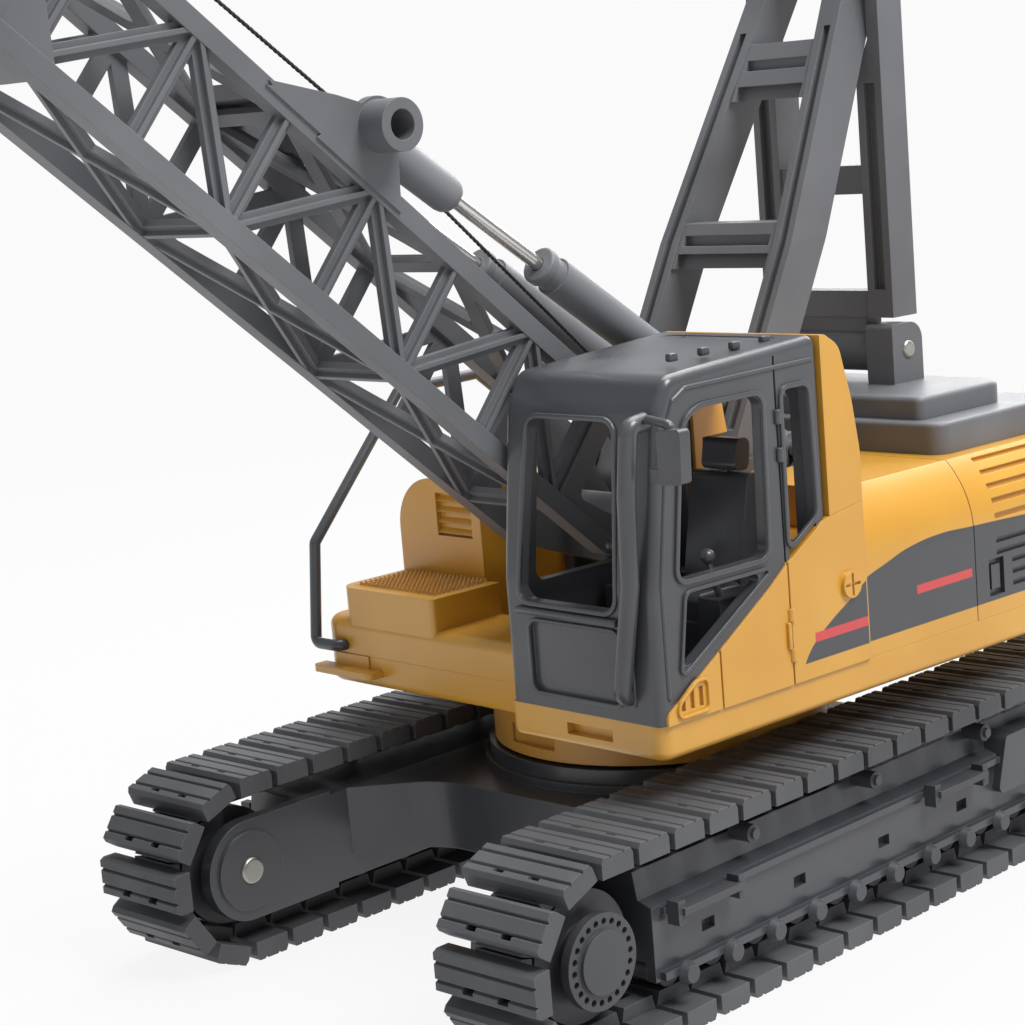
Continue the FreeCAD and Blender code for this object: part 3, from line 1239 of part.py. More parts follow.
def hoist_rope():
    c0 = V(0, drum_y, drum_z)
    c1 = boom_point(lug_u, lug_v)
    c2 = head_point
    r0, r1, r2 = drum_r + 0.35 + rope_r, 3.2 - 0.5 + rope_r, wrap_r - 0.6 + rope_r
    a0, a1 = tangent_line(c0, r0, c1, r1)
    b1, b2 = tangent_line(c1, r1, c2, r2)
    n1 = ((a1 - c1) + (b1 - c1)).normalize()
    end = V(0, c2.y - r2, c2.z)
    n2 = ((b2 - c2) + (end - c2)).normalize()
    path = Part.Wire([Part.makeLine(a0, a1), Part.Arc(a1, c1 + n1 * r1, b1).toShape(), Part.makeLine(b1, b2),
                      Part.Arc(b2, c2 + n2 * r2, end).toShape()])
    ring_ = Part.Wire(Part.makeCircle(rope_r, a0, a1 - a0))
    print("rope route", a0, a1, b1, b2, end, "length", path.Length)
    solid = path.makePipeShell([ring_], True, False)
    print("tube volume over section times length", solid.Volume / (math.pi * rope_r ** 2 * path.Length))
    return solid, end


rope, fall_top = hoist_rope()
save("hoist_rope", rope)
save("fall_rope", cyl_z(rope_r, block_top, fall_top.z - 0.02, 0, fall_top.y))

hy = fall_top.y
hook_sheave_z = block_top - 4.6


def hook_block():
    cheeks = []
    for s in (-1, 1):
        x0, x1 = sorted((s * 1.3, s * 2.3))
        cheeks.append(prism_x([(hy - 3.4, hook_sheave_z - 4.2), (hy + 3.4, hook_sheave_z - 4.2),
                               (hy + 3.4, hook_sheave_z + 2.0), (hy, hook_sheave_z + 4.4),
                               (hy - 3.4, hook_sheave_z + 2.0)], x0, x1, [1.5, 1.5, 2.0, 1.0, 2.0]))
    top = box(-2.3, 2.3, hy - 0.9, hy + 0.9, block_top - 1.3, block_top)
    low = box(-2.3, 2.3, hy - 2.0, hy + 2.0, hook_sheave_z - 4.2, hook_sheave_z - 3.2)
    pin_ = cyl_x(0.7, -2.7, 2.7, hy, hook_sheave_z)
    return fuse(cheeks + [top, low, pin_])


def hook():
    r, t = 2.7, 0.75
    z0 = hook_sheave_z - 4.2 - 0.03
    cz = z0 - 2.6 - r
    start = V(0, hy, z0)
    shank = V(0, hy, cz + r)
    ring_path = [Part.makeLine(start, shank)]
    a_end = math.radians(150)
    mid = V(0, hy + r * math.sin(a_end / 2 + math.radians(60)), cz + r * math.cos(a_end / 2 + math.radians(60)))
    p_end = V(0, hy + r * math.sin(math.radians(270)), cz + r * math.cos(math.radians(270)))
    p_mid = V(0, hy + r * math.sin(math.radians(135)), cz + r * math.cos(math.radians(135)))
    curve = Part.Arc(shank, p_mid, p_end).toShape()
    bend = Part.Wire([curve])
    solid = bend.makePipeShell([Part.Wire(Part.makeCircle(t, shank, V(0, 1, 0)))], True, False)
    tip = Part.makeSphere(t, p_end)
    collar = cyl_z(t, shank.z - 0.35, z0, 0, hy)
    knuckle = Part.makeSphere(t, shank)
    return fuse([solid, tip, collar, knuckle])


save("hook_block", hook_block())
save("hook_sheave", sheave(3.0, 1.1, 0, hy, hook_sheave_z, 0.7 + pin_gap))
save("hook", hook())
print("lug point", lug_point, "axis", axis, "span", span, "head", head_point, "fall", fall_top, block_top)
print("mast foot", mast_foot_y, mast_foot_z, "strut mid", strut_mid_y)
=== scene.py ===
import bmesh
import bpy
import json
import math
from mathutils import Matrix, Vector


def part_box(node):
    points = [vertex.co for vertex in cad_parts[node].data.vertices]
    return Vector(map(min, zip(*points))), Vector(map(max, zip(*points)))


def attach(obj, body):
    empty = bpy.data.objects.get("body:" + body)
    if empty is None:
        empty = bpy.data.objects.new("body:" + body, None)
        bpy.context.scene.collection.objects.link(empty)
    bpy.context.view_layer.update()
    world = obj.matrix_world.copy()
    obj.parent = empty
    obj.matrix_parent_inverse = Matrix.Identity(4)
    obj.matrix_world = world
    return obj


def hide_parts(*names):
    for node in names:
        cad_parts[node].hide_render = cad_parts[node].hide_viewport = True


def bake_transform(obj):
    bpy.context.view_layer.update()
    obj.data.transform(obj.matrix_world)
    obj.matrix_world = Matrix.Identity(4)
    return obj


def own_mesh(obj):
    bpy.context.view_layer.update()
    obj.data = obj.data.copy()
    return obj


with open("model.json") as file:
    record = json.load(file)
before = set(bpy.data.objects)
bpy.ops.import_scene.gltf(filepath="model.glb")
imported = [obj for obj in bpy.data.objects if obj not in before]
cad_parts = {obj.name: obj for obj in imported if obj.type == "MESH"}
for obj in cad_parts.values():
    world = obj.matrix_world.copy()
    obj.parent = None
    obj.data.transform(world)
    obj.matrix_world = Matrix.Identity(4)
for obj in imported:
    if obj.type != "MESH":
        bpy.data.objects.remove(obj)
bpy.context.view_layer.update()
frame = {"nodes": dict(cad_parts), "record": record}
scene = bpy.context.scene
mm = 0.001


# ---- camera, floor and lights ----
cameraSetup = {
    "place": (0.1882, -0.1903, 0.0903),
    "turn": 47.927,          # degrees round the crane from straight in front
    "dip": 9.80,             # degrees below level
    "roll": -4.70,
    "lens": 83.4,
}


def addCamera(s):
    turn, dip, roll = (math.radians(s[k]) for k in ("turn", "dip", "roll"))
    back = Vector((math.sin(turn) * math.cos(dip), -math.cos(turn) * math.cos(dip), math.sin(dip)))
    right = Vector((math.cos(turn), math.sin(turn), 0))
    up = back.cross(right)
    rolledRight = right * math.cos(roll) + up * math.sin(roll)
    rolledUp = up * math.cos(roll) - right * math.sin(roll)
    data = bpy.data.cameras.new("camera")
    data.lens = s["lens"]
    data.sensor_width = 36
    data.clip_start = 0.005
    cam = bpy.data.objects.new("camera", data)
    axes = Matrix((rolledRight, rolledUp, back)).transposed().to_4x4()
    cam.matrix_world = Matrix.Translation(s["place"]) @ axes
    scene.collection.objects.link(cam)
    scene.camera = cam


addCamera(cameraSetup)
print("camera placed")

studio = {
    "floorSize": 6.0,
    "paper": (0.956, 0.956, 0.956, 1),
    "floorPaint": (0.68, 0.68, 0.68, 1),
    "shadowShare": 0.07,                       # how much of the floor takes shadows
    "shadowFade": (0.16, 0.45),                # where that starts and stops fading, in metres
    "skyColour": (0.93, 0.96, 1.0, 1),
    "skyPower": 0.38,
    "lamps": (               # name, place, aim, width, power
        ("keyLamp", (0.70, 0.15, 1.05), (0.0, 0.0, 0.05), 0.55, 16.0),
        ("topLamp", (-0.15, 0.40, 1.30), (0.0, -0.05, 0.08), 0.9, 15.0),
        ("backLamp", (-0.35, 1.15, 0.65), (0.0, 0.0, 0.06), 1.1, 16.0),
        ("frontLamp", (-0.55, -1.00, 0.40), (0.0, 0.0, 0.06), 0.8, 0.5),
    ),
}


def addStudio(s):
    bm = bmesh.new()
    bmesh.ops.create_grid(bm, x_segments=1, y_segments=1, size=s["floorSize"] / 2)
    mesh = bpy.data.meshes.new("floor")
    bm.to_mesh(mesh)
    bm.free()
    floor = bpy.data.objects.new("floor", mesh)
    scene.collection.objects.link(floor)
    mat = bpy.data.materials.new("palePaper")
    mat.use_nodes = True
    nodes, links = mat.node_tree.nodes, mat.node_tree.links
    shader = nodes["Principled BSDF"]
    shader.inputs["Base Color"].default_value = s["floorPaint"]
    shader.inputs["Roughness"].default_value = 0.9
    shader.inputs["Specular IOR Level"].default_value = 0.1
    glow = nodes.new("ShaderNodeEmission")
    glow.inputs["Color"].default_value = s["paper"]
    blend = nodes.new("ShaderNodeMixShader")
    reach = nodes.new("ShaderNodeVectorMath")
    reach.operation = "LENGTH"
    links.new(nodes.new("ShaderNodeTexCoord").outputs["Object"], reach.inputs[0])
    fade = nodes.new("ShaderNodeMapRange")
    for socket, value in zip(("From Min", "From Max", "To Min", "To Max"), (*s["shadowFade"], s["shadowShare"], 0.0)):
        fade.inputs[socket].default_value = value
    links.new(reach.outputs["Value"], fade.inputs["Value"])
    links.new(fade.outputs["Result"], blend.inputs[0])
    links.new(glow.outputs[0], blend.inputs[1])
    links.new(shader.outputs[0], blend.inputs[2])
    links.new(blend.outputs[0], nodes["Material Output"].inputs["Surface"])
    mat.cycles.emission_sampling = "NONE"
    mesh.materials.append(mat)
    world = bpy.data.worlds.new("studio")
    scene.world = world
    world.use_nodes = True
    nodes, links = world.node_tree.nodes, world.node_tree.links
    sky = nodes["Background"]
    sky.inputs["Color"].default_value = s["skyColour"]
    sky.inputs["Strength"].default_value = s["skyPower"]
    paper = nodes.new("ShaderNodeBackground")
    paper.inputs["Color"].default_value = s["paper"]
    paper.inputs["Strength"].default_value = 1.0
    seen = nodes.new("ShaderNodeLightPath")
    blend = nodes.new("ShaderNodeMixShader")
    links.new(seen.outputs["Is Camera Ray"], blend.inputs[0])
    links.new(sky.outputs[0], blend.inputs[1])
    links.new(paper.outputs[0], blend.inputs[2])
    links.new(blend.outputs[0], nodes["World Output"].inputs["Surface"])
    for name, place, aim, width, power in s["lamps"]:
        data = bpy.data.lights.new(name, "AREA")
        data.shape = "SQUARE"
        data.size = width
        data.energy = power
        lamp = bpy.data.objects.new(name, data)
        lamp.location = place
        lamp.rotation_euler = (Vector(aim) - Vector(place)).to_track_quat("-Z", "Y").to_euler()
        scene.collection.objects.link(lamp)
    scene.view_settings.view_transform = "Standard"


addStudio(studio)
print("studio lit")


# ---- finishes ----
# each finish's "edge" colour is mixed in along hard edges: partly rubbed wear, partly a painted highlight
finishes = {
    "amberEnamel": {"dark": (0.56, 0.268, 0.02), "light": (0.65, 0.33, 0.034), "edge": (0.78, 0.5, 0.16),
                    "rough": (0.30, 0.42), "metal": 0.0, "coat": 0.6, "coatRough": 0.28, "grain": 1400,
                    "bump": 0.05, "round": 0.16, "edgeMix": 0.35, "peel": 260},
    "amberPlastic": {"dark": (0.48, 0.235, 0.035), "light": (0.57, 0.29, 0.05), "edge": (0.7, 0.43, 0.14),
                     "rough": (0.34, 0.5), "metal": 0.0, "coat": 0.1, "coatRough": 0.3, "grain": 1800,
                     "bump": 0.08, "round": 0.14, "edgeMix": 0.3, "peel": 300},
    "blackEnamel": {"dark": (0.03, 0.031, 0.036), "light": (0.05, 0.052, 0.059), "edge": (0.2, 0.205, 0.225),
                    "rough": (0.26, 0.4), "metal": 0.0, "coat": 0.25, "coatRough": 0.15, "grain": 1400,
                    "bump": 0.05, "round": 0.14, "edgeMix": 0.45, "peel": 260},
    "trackPlastic": {"dark": (0.046, 0.047, 0.051), "light": (0.092, 0.094, 0.1), "edge": (0.27, 0.27, 0.28),
                     "rough": (0.48, 0.68), "metal": 0.0, "coat": 0.0, "coatRough": 0.3, "grain": 2600,
                     "bump": 0.22, "round": 0.10, "edgeMix": 0.55, "peel": 700},
    "wheelPlastic": {"dark": (0.036, 0.037, 0.042), "light": (0.06, 0.061, 0.068), "edge": (0.2, 0.2, 0.215),
                     "rough": (0.4, 0.55), "metal": 0.0, "coat": 0.0, "coatRough": 0.3, "grain": 2200,
                     "bump": 0.12, "round": 0.10, "edgeMix": 0.5, "peel": 500},
    "boomPlastic": {"dark": (0.104, 0.106, 0.115), "light": (0.15, 0.153, 0.164), "edge": (0.29, 0.29, 0.305),
                    "rough": (0.42, 0.56), "metal": 0.0, "coat": 0.0, "coatRough": 0.3, "grain": 2600,
                    "bump": 0.14, "round": 0.13, "edgeMix": 0.5, "peel": 420},
    "cabPlastic": {"dark": (0.048, 0.049, 0.054), "light": (0.08, 0.082, 0.09), "edge": (0.22, 0.22, 0.235),
                   "rough": (0.26, 0.38), "metal": 0.0, "coat": 0.2, "coatRough": 0.14, "grain": 1800,
                   "bump": 0.06, "round": 0.16, "edgeMix": 0.5, "peel": 240},
    "ramPlastic": {"dark": (0.14, 0.143, 0.152), "light": (0.195, 0.199, 0.212), "edge": (0.33, 0.33, 0.345),
                   "rough": (0.46, 0.6), "metal": 0.0, "coat": 0.0, "coatRough": 0.3, "grain": 2600,
                   "bump": 0.12, "round": 0.12, "edgeMix": 0.45, "peel": 420},
    "brightRod": {"dark": (0.62, 0.60, 0.57), "light": (0.80, 0.78, 0.75), "edge": (0.9, 0.9, 0.9),
                  "rough": (0.12, 0.24), "metal": 1.0, "coat": 0.0, "coatRough": 0.3, "grain": 3000,
                  "bump": 0.02, "round": 0.04, "edgeMix": 0.2, "peel": 900},
    "platedSteel": {"dark": (0.36, 0.35, 0.32), "light": (0.52, 0.50, 0.46), "edge": (0.7, 0.69, 0.66),
                    "rough": (0.28, 0.42), "metal": 1.0, "coat": 0.0, "coatRough": 0.3, "grain": 2600,
                    "bump": 0.05, "round": 0.08, "edgeMix": 0.4, "peel": 600},
    "ropeCord": {"dark": (0.018, 0.018, 0.020), "light": (0.05, 0.05, 0.055), "edge": (0.09, 0.09, 0.09),
                 "rough": (0.7, 0.85), "metal": 0.0, "coat": 0.0, "coatRough": 0.3, "grain": 5000,
                 "bump": 0.3, "round": 0.02, "edgeMix": 0.1, "peel": 2400},
}


surfaceLook = {
    "driftScale": 38, "driftDetail": 3, "driftSpan": (0.32, 0.68),
    "smearScale": 120, "smearDetail": 6, "smearRough": 0.65,
    # edgeSpan and the two spans after it set where edges get the painted highlight and wear, and how patchy it is
    "edgeSpan": (0.985, 0.80), "edgeWearAndSheenSpan": (0.35, 0.6), "edgeWearAndSheenLeast": 0.25, "glossSpan": (0.3, 0.7),
    "cornerSamples": 6, "bumpDepth": 0.1,
}


def rampBetween(nodes, links, source, low, high, outLow, outHigh):
    step = nodes.new("ShaderNodeMapRange")
    step.inputs["From Min"].default_value = low
    step.inputs["From Max"].default_value = high
    step.inputs["To Min"].default_value = outLow
    step.inputs["To Max"].default_value = outHigh
    links.new(source, step.inputs["Value"])
    return step.outputs["Result"]


def noiseAt(nodes, links, coords, scale, detail, rough=0.55):
    noise = nodes.new("ShaderNodeTexNoise")
    noise.inputs["Scale"].default_value = scale
    noise.inputs["Detail"].default_value = detail
    noise.inputs["Roughness"].default_value = rough
    links.new(coords, noise.inputs["Vector"])
    return noise.outputs["Fac"]


def colourMix(nodes, links, factor, first, second):
    mix = nodes.new("ShaderNodeMix")
    mix.data_type = "RGBA"
    mix.clamp_factor = True
    links.new(factor, mix.inputs["Factor"])
    for socket, value in ((mix.inputs[6], first), (mix.inputs[7], second)):
        if isinstance(value, tuple):
            socket.default_value = (*value, 1) if len(value) == 3 else value
        else:
            links.new(value, socket)
    return mix.outputs[2]


def makeFinish(name, f, look):
    # moulded or painted surface: slow tone drift, fine grain, softened corners, and edges lightened toward the edge
    # colour, partly rubbed wear and partly painted highlight
    mat = bpy.data.materials.new(name)
    mat.use_nodes = True
    nodes, links = mat.node_tree.nodes, mat.node_tree.links
    shader = nodes["Principled BSDF"]
    coords = nodes.new("ShaderNodeTexCoord").outputs["Object"]
    drift = noiseAt(nodes, links, coords, look["driftScale"], look["driftDetail"])
    grain = noiseAt(nodes, links, coords, f["grain"], 2)
    smears = noiseAt(nodes, links, coords, look["smearScale"], look["smearDetail"], look["smearRough"])
    tone = rampBetween(nodes, links, drift, *look["driftSpan"], 0.0, 1.0)
    base = colourMix(nodes, links, tone, f["dark"], f["light"])
    soft = nodes.new("ShaderNodeBevel")
    soft.samples = look["cornerSamples"]
    soft.inputs["Radius"].default_value = f["round"] * mm
    facing = nodes.new("ShaderNodeNewGeometry")
    dot = nodes.new("ShaderNodeVectorMath")
    dot.operation = "DOT_PRODUCT"
    links.new(soft.outputs["Normal"], dot.inputs[0])
    links.new(facing.outputs["Normal"], dot.inputs[1])
    # edges found by the bevel are lightened: painted highlight and wear together, made patchy by the smear noise
    edgeHighlightAndWear = rampBetween(nodes, links, dot.outputs["Value"], *look["edgeSpan"], 0.0, 1.0)
    patchyEdgeHighlightAndWear = nodes.new("ShaderNodeMath")
    patchyEdgeHighlightAndWear.operation = "MULTIPLY"
    links.new(edgeHighlightAndWear, patchyEdgeHighlightAndWear.inputs[0])
    links.new(rampBetween(nodes, links, smears, *look["edgeWearAndSheenSpan"], look["edgeWearAndSheenLeast"], 1.0), patchyEdgeHighlightAndWear.inputs[1])
    strength = nodes.new("ShaderNodeMath")
    strength.operation = "MULTIPLY"
    links.new(patchyEdgeHighlightAndWear.outputs[0], strength.inputs[0])
    strength.inputs[1].default_value = f["edgeMix"]
    links.new(colourMix(nodes, links, strength.outputs[0], base, f["edge"]), shader.inputs["Base Color"])
    links.new(rampBetween(nodes, links, smears, *look["glossSpan"], *f["rough"]), shader.inputs["Roughness"])
    shader.inputs["Metallic"].default_value = f["metal"]
    shader.inputs["Coat Weight"].default_value = f["coat"]
    shader.inputs["Coat Roughness"].default_value = f["coatRough"]
    ripple = noiseAt(nodes, links, coords, f["peel"], 2)
    height = nodes.new("ShaderNodeMath")
    height.operation = "ADD"
    links.new(grain, height.inputs[0])
    links.new(ripple, height.inputs[1])
    bump = nodes.new("ShaderNodeBump")
    bump.inputs["Strength"].default_value = f["bump"]
    bump.inputs["Distance"].default_value = look["bumpDepth"] * mm
    links.new(height.outputs[0], bump.inputs["Height"])
    links.new(soft.outputs["Normal"], bump.inputs["Normal"])
    links.new(bump.outputs["Normal"], shader.inputs["Normal"])
    return mat


# ---- printed swoosh and stripes on the flanks, in mm along the house and up ----
flankPrint = {
    "startY": -8.94, "endY": 30.8, "lowZ": 30.65, "baseZ": 30.0, "spanZ": 10.0, "flankX": 28.4, "softness": 0.05,
    "topEdge": ((-8.94, 30.4), (-7.3, 32.4), (-4.2, 34.4), (-0.8, 36.1), (2.3, 37.7), (5.3, 38.5), (9.7, 39.55),
                (15, 40.0), (20.8, 39.8), (26, 39.6), (30.8, 39.4)),
    "stripes": ((-7.0, 1.7, 32.6, 33.6), (10.6, 20.5, 34.15, 35.1)),    # from y, to y, from z, to z
    "black": (0.035, 0.036, 0.041), "red": (0.56, 0.035, 0.035),
}


def addFlankPrint(mat, p):
    nodes, links = mat.node_tree.nodes, mat.node_tree.links
    coords = nodes.new("ShaderNodeTexCoord").outputs["Object"]
    scaled = nodes.new("ShaderNodeVectorMath")
    scaled.operation = "SCALE"
    scaled.inputs["Scale"].default_value = 1 / mm
    links.new(coords, scaled.inputs[0])
    split = nodes.new("ShaderNodeSeparateXYZ")
    links.new(scaled.outputs[0], split.inputs[0])

    def calc(operation, first, second):
        node = nodes.new("ShaderNodeMath")
        node.operation = operation
        for socket, value in zip(node.inputs, (first, second)):
            if isinstance(value, (int, float)):
                socket.default_value = value
            else:
                links.new(value, socket)
        return node.outputs[0]

    def above(value, limit):       # 0 below the limit, 1 above it, with a soft print edge
        gap = calc("SUBTRACT", value, limit)
        return rampBetween(nodes, links, gap, -p["softness"], p["softness"], 0.0, 1.0)

    y, z = split.outputs[1], split.outputs[2]
    flank = above(calc("ABSOLUTE", split.outputs[0], 0.0), p["flankX"])
    edge = nodes.new("ShaderNodeFloatCurve")
    curve = edge.mapping.curves[0]
    reach = p["endY"] - p["startY"]
    points = [((py - p["startY"]) / reach, (pz - p["baseZ"]) / p["spanZ"]) for py, pz in p["topEdge"]]
    curve.points[0].location = points[0]
    curve.points[1].location = points[-1]
    for place in points[1:-1]:
        curve.points.new(*place)
    edge.mapping.update()
    links.new(rampBetween(nodes, links, y, p["startY"], p["endY"], 0.0, 1.0), edge.inputs["Value"])
    top = calc("ADD", calc("MULTIPLY", edge.outputs[0], p["spanZ"]), p["baseZ"])
    swoosh = calc("MULTIPLY", calc("MULTIPLY", above(z, p["lowZ"]), above(top, z)),
                  calc("MULTIPLY", flank, above(y, p["startY"])))
    red = 0.0
    for fromY, toY, fromZ, toZ in p["stripes"]:
        stripe = calc("MULTIPLY", calc("MULTIPLY", above(y, fromY), above(toY, y)),
                      calc("MULTIPLY", above(z, fromZ), above(toZ, z)))
        red = calc("ADD", stripe, red)
    shader = nodes["Principled BSDF"]
    painted = shader.inputs["Base Color"].links[0].from_socket
    printed = colourMix(nodes, links, swoosh, painted, p["black"])
    links.new(colourMix(nodes, links, calc("MULTIPLY", red, flank), printed, p["red"]), shader.inputs["Base Color"])


materials = {name: makeFinish(name, f, surfaceLook) for name, f in finishes.items()}
materials["amberPrinted"] = makeFinish("amberPrinted", finishes["amberEnamel"], surfaceLook)
addFlankPrint(materials["amberPrinted"], flankPrint)
print("finishes ready")

finishOfSlot = {
    "yellow_body": "amberEnamel", "slew_yellow": "amberPlastic", "chassis_black": "blackEnamel",
    "track_black": "trackPlastic", "wheel_black": "wheelPlastic", "boom_grey": "boomPlastic",
    "cab_black": "cabPlastic", "ram_grey": "ramPlastic", "ram_rod": "brightRod", "pin_steel": "platedSteel",
    "sheave_grey": "boomPlastic", "hook_metal": "blackEnamel", "rope_black": "ropeCord",
}
printedPanels = ("cab_side_panel", "side_panel_left", "side_panel_right", "engine_hood")
for part in frame["record"]["subparts"]:
    node = frame["nodes"][part["node"]]
    node.data.materials.clear()
    printed = part["node"] in printedPanels
    node.data.materials.append(materials["amberPrinted" if printed else finishOfSlot[part["material_slot"]]])
print("frame painted")


# ---- building helpers ----
def finishPiece(bm, name, body, finish, replaced=(), smooth=35):
    bmesh.ops.remove_doubles(bm, verts=bm.verts, dist=1e-6)
    bmesh.ops.recalc_face_normals(bm, faces=bm.faces)
    mesh = bpy.data.meshes.new(name)
    bm.to_mesh(mesh)
    bm.free()
    piece = bpy.data.objects.new(name, mesh)
    scene.collection.objects.link(piece)
    mesh.materials.append(materials[finish])
    mesh.shade_smooth()
    mesh.set_sharp_from_angle(angle=math.radians(smooth))
    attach(piece, body)
    if replaced:
        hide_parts(*replaced)
    return piece


def addBlock(bm, low, high, roundness=0.0, steps=2):
    # box between two corners in mm, with its edges rounded
    size = Vector(high) - Vector(low)
    middle = (Vector(high) + Vector(low)) / 2
    made = bmesh.ops.create_cube(bm, size=1.0)
    bmesh.ops.scale(bm, vec=size * mm, verts=made["verts"])
    bmesh.ops.translate(bm, vec=middle * mm, verts=made["verts"])
    if roundness:
        edges = list(dict.fromkeys(e for v in made["verts"] for e in v.link_edges))
        bmesh.ops.bevel(bm, geom=edges, offset=roundness * mm, offset_type="OFFSET", affect="EDGES",
                        segments=steps, profile=0.5, material=-1)


def addRod(bm, start, end, radius, sides=24, roundness=0.0, steps=2):
    # round bar between two points in mm
    a, b = Vector(start) * mm, Vector(end) * mm
    turn = (b - a).to_track_quat("Z", "Y").to_matrix().to_4x4()
    place = Matrix.Translation((a + b) / 2) @ turn
    made = bmesh.ops.create_cone(bm, cap_ends=True, cap_tris=False, segments=sides, radius1=radius * mm,
                                 radius2=radius * mm, depth=(b - a).length, matrix=place)
    if roundness:
        rims = [e for e in dict.fromkeys(e for v in made["verts"] for e in v.link_edges)
                if any(len(f.verts) > 4 for f in e.link_faces)]
        bmesh.ops.bevel(bm, geom=rims, offset=roundness * mm, offset_type="OFFSET", affect="EDGES",
                        segments=steps, profile=0.5, material=-1)


def addTurned(bm, profile, centre, axis, steps=48):
    # spin a (radius, height) outline in mm about an axis through centre
    turn = Vector(axis).to_track_quat("Z", "Y").to_matrix().to_4x4()
    place = Matrix.Translation(Vector(centre) * mm) @ turn
    verts = [bm.verts.new(place @ Vector((r * mm, 0, h * mm))) for r, h in profile]
    edges = [bm.edges.new(pair) for pair in zip(verts, verts[1:])]
    bmesh.ops.spin(bm, geom=verts + edges, cent=Vector(centre) * mm, axis=place.to_3x3() @ Vector((0, 0, 1)),
                   angle=2 * math.pi, steps=steps, use_merge=True)


# ---- luffing cylinders' sliding ends: charcoal sleeve, bright rod ----
ramParts = {
    "lug": (-40.960, 88.943),      # where the eyes meet the boom, (y, z) mm
    "along": (0.82014, -0.57217),
    "sides": (4.9, -4.9),
    "sleeveRadius": 2.0, "sleeveLength": 14.0,
    "rodRadius": 0.75, "rodEnd": 57.0,
    "eyeHalf": 2.0,
}


def addRamParts(s):
    y0, z0 = s["lug"]
    dy, dz = s["along"]

    def at(x, d):
        return (x, y0 + dy * d, z0 + dz * d)

    sleeves, rods = bmesh.new(), bmesh.new()
    r, n = s["sleeveRadius"], s["sleeveLength"]
    for x in s["sides"]:
        addTurned(sleeves, ((0, 0.2), (r - 0.05, 0.2), (r, 0.5), (r, n - 1.3), (r - 0.12, n - 0.7),
                            (r - 0.45, n - 0.2), (r - 0.8, n), (s["rodRadius"] - 0.02, n)),
                  at(x, 0), (0, dy, dz))
        addRod(sleeves, (x - s["eyeHalf"], y0, z0), (x + s["eyeHalf"], y0, z0), r, 40, 0.25)
        addRod(rods, at(x, n - 0.4), at(x, s["rodEnd"]), s["rodRadius"], 28)
    finishPiece(sleeves, "ramSleeves", "rods", "ramPlastic", ("cylinder_rods",))
    finishPiece(rods, "ramRods", "rods", "brightRod", ("cylinder_rods",))


addRamParts(ramParts)
print("cylinder rods made")


# ---- ropes ----
ropeMake = {
    "diameter": 0.44, "strands": 3, "lay": 1.9, "strandShare": 0.52,
    "hoistRoute": ((15.849, 41.198), (-37.06, 89.34), (-39.07, 91.17), (-41.12, 92.78), (-206.32, 222.47),
                   (-209.67, 225.09), (-212.98, 224.79), (-215.22, 222.34), (-215.221, 220.682)),
    "fallRoute": ((-215.221, 220.66), (-215.221, 197.0), (-215.221, 174.69)),
}


def routeCurve(name, route):
    data = bpy.data.curves.new(name, "CURVE")
    data.dimensions = "3D"
    spline = data.splines.new("NURBS")
    spline.points.add(len(route) - 1)
    for point, (y, z) in zip(spline.points, route):
        point.co = (0, y * mm, z * mm, 1)
    spline.order_u = 3
    spline.use_endpoint_u = True
    data.resolution_u = 24
    line = bpy.data.objects.new(name, data)
    scene.collection.objects.link(line)
    mesh = bpy.data.meshes.new_from_object(line)
    points = [v.co.copy() for v in mesh.vertices]
    bpy.data.objects.remove(line)
    bpy.data.meshes.remove(mesh)
    return points


def evenPoints(points, gap):
    out, carried = [points[0]], 0.0
    for a, b in zip(points, points[1:]):
        length = (b - a).length
        if length == 0:
            continue
        along = gap - carried
        while along < length:
            out.append(a.lerp(b, along / length))
            along += gap
        carried = length - (along - gap)
    out.append(points[-1])
    return out


def twistedRope(name, route, s):
    path = routeCurve(name + "Line", route)
    stations = evenPoints(path, s["lay"] * mm / 9)
    data = bpy.data.curves.new(name, "CURVE")
    data.dimensions = "3D"
    thick = s["diameter"] / 2 * s["strandShare"] * mm
    data.bevel_depth = thick
    data.bevel_resolution = 1
    data.use_fill_caps = True
    offset = s["diameter"] / 2 * mm - thick
    for k in range(s["strands"]):
        spline = data.splines.new("POLY")
        spline.points.add(len(stations) - 1)
        walked = 0.0
        for i, p in enumerate(stations):
            if i:
                walked += (p - stations[i - 1]).length
            ahead = (stations[min(i + 1, len(stations) - 1)] - stations[max(i - 1, 0)]).normalized()
            side = Vector((1, 0, 0))
            other = ahead.cross(side)
            turn = 2 * math.pi * (walked / (s["lay"] * mm) + k / s["strands"])
            q = p + (side * math.cos(turn) + other * math.sin(turn)) * offset
            spline.points[i].co = (*q, 1)
    line = bpy.data.objects.new(name + "Strands", data)
    scene.collection.objects.link(line)
    mesh = bpy.data.meshes.new_from_object(line)
    bpy.data.objects.remove(line)
    mesh.name = name
    rope = bpy.data.objects.new(name, mesh)
    scene.collection.objects.link(rope)
    mesh.materials.clear()
    mesh.materials.append(materials["ropeCord"])
    mesh.shade_smooth()
    length = sum((b - a).length for a, b in zip(path, path[1:]))
    print(name, "length", round(length, 4), "faces", len(mesh.polygons))
    return rope, [tuple(p) for p in path], length


hoistRope, hoistPath, hoistLength = twistedRope("hoistRope", ropeMake["hoistRoute"], ropeMake)
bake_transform(hoistRope)
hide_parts("hoist_rope")
fallRope, fallPath, fallLength = twistedRope("fallRope", ropeMake["fallRoute"], ropeMake)
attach(fallRope, "hook_line")
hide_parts("fall_rope")
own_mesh(fallRope)
print("ropes strung")


# ---- studded tread plate ----
treadStuds = {"across": 20, "along": 12, "margin": 0.7, "height": 0.42, "width": 0.5, "base": 0.72}


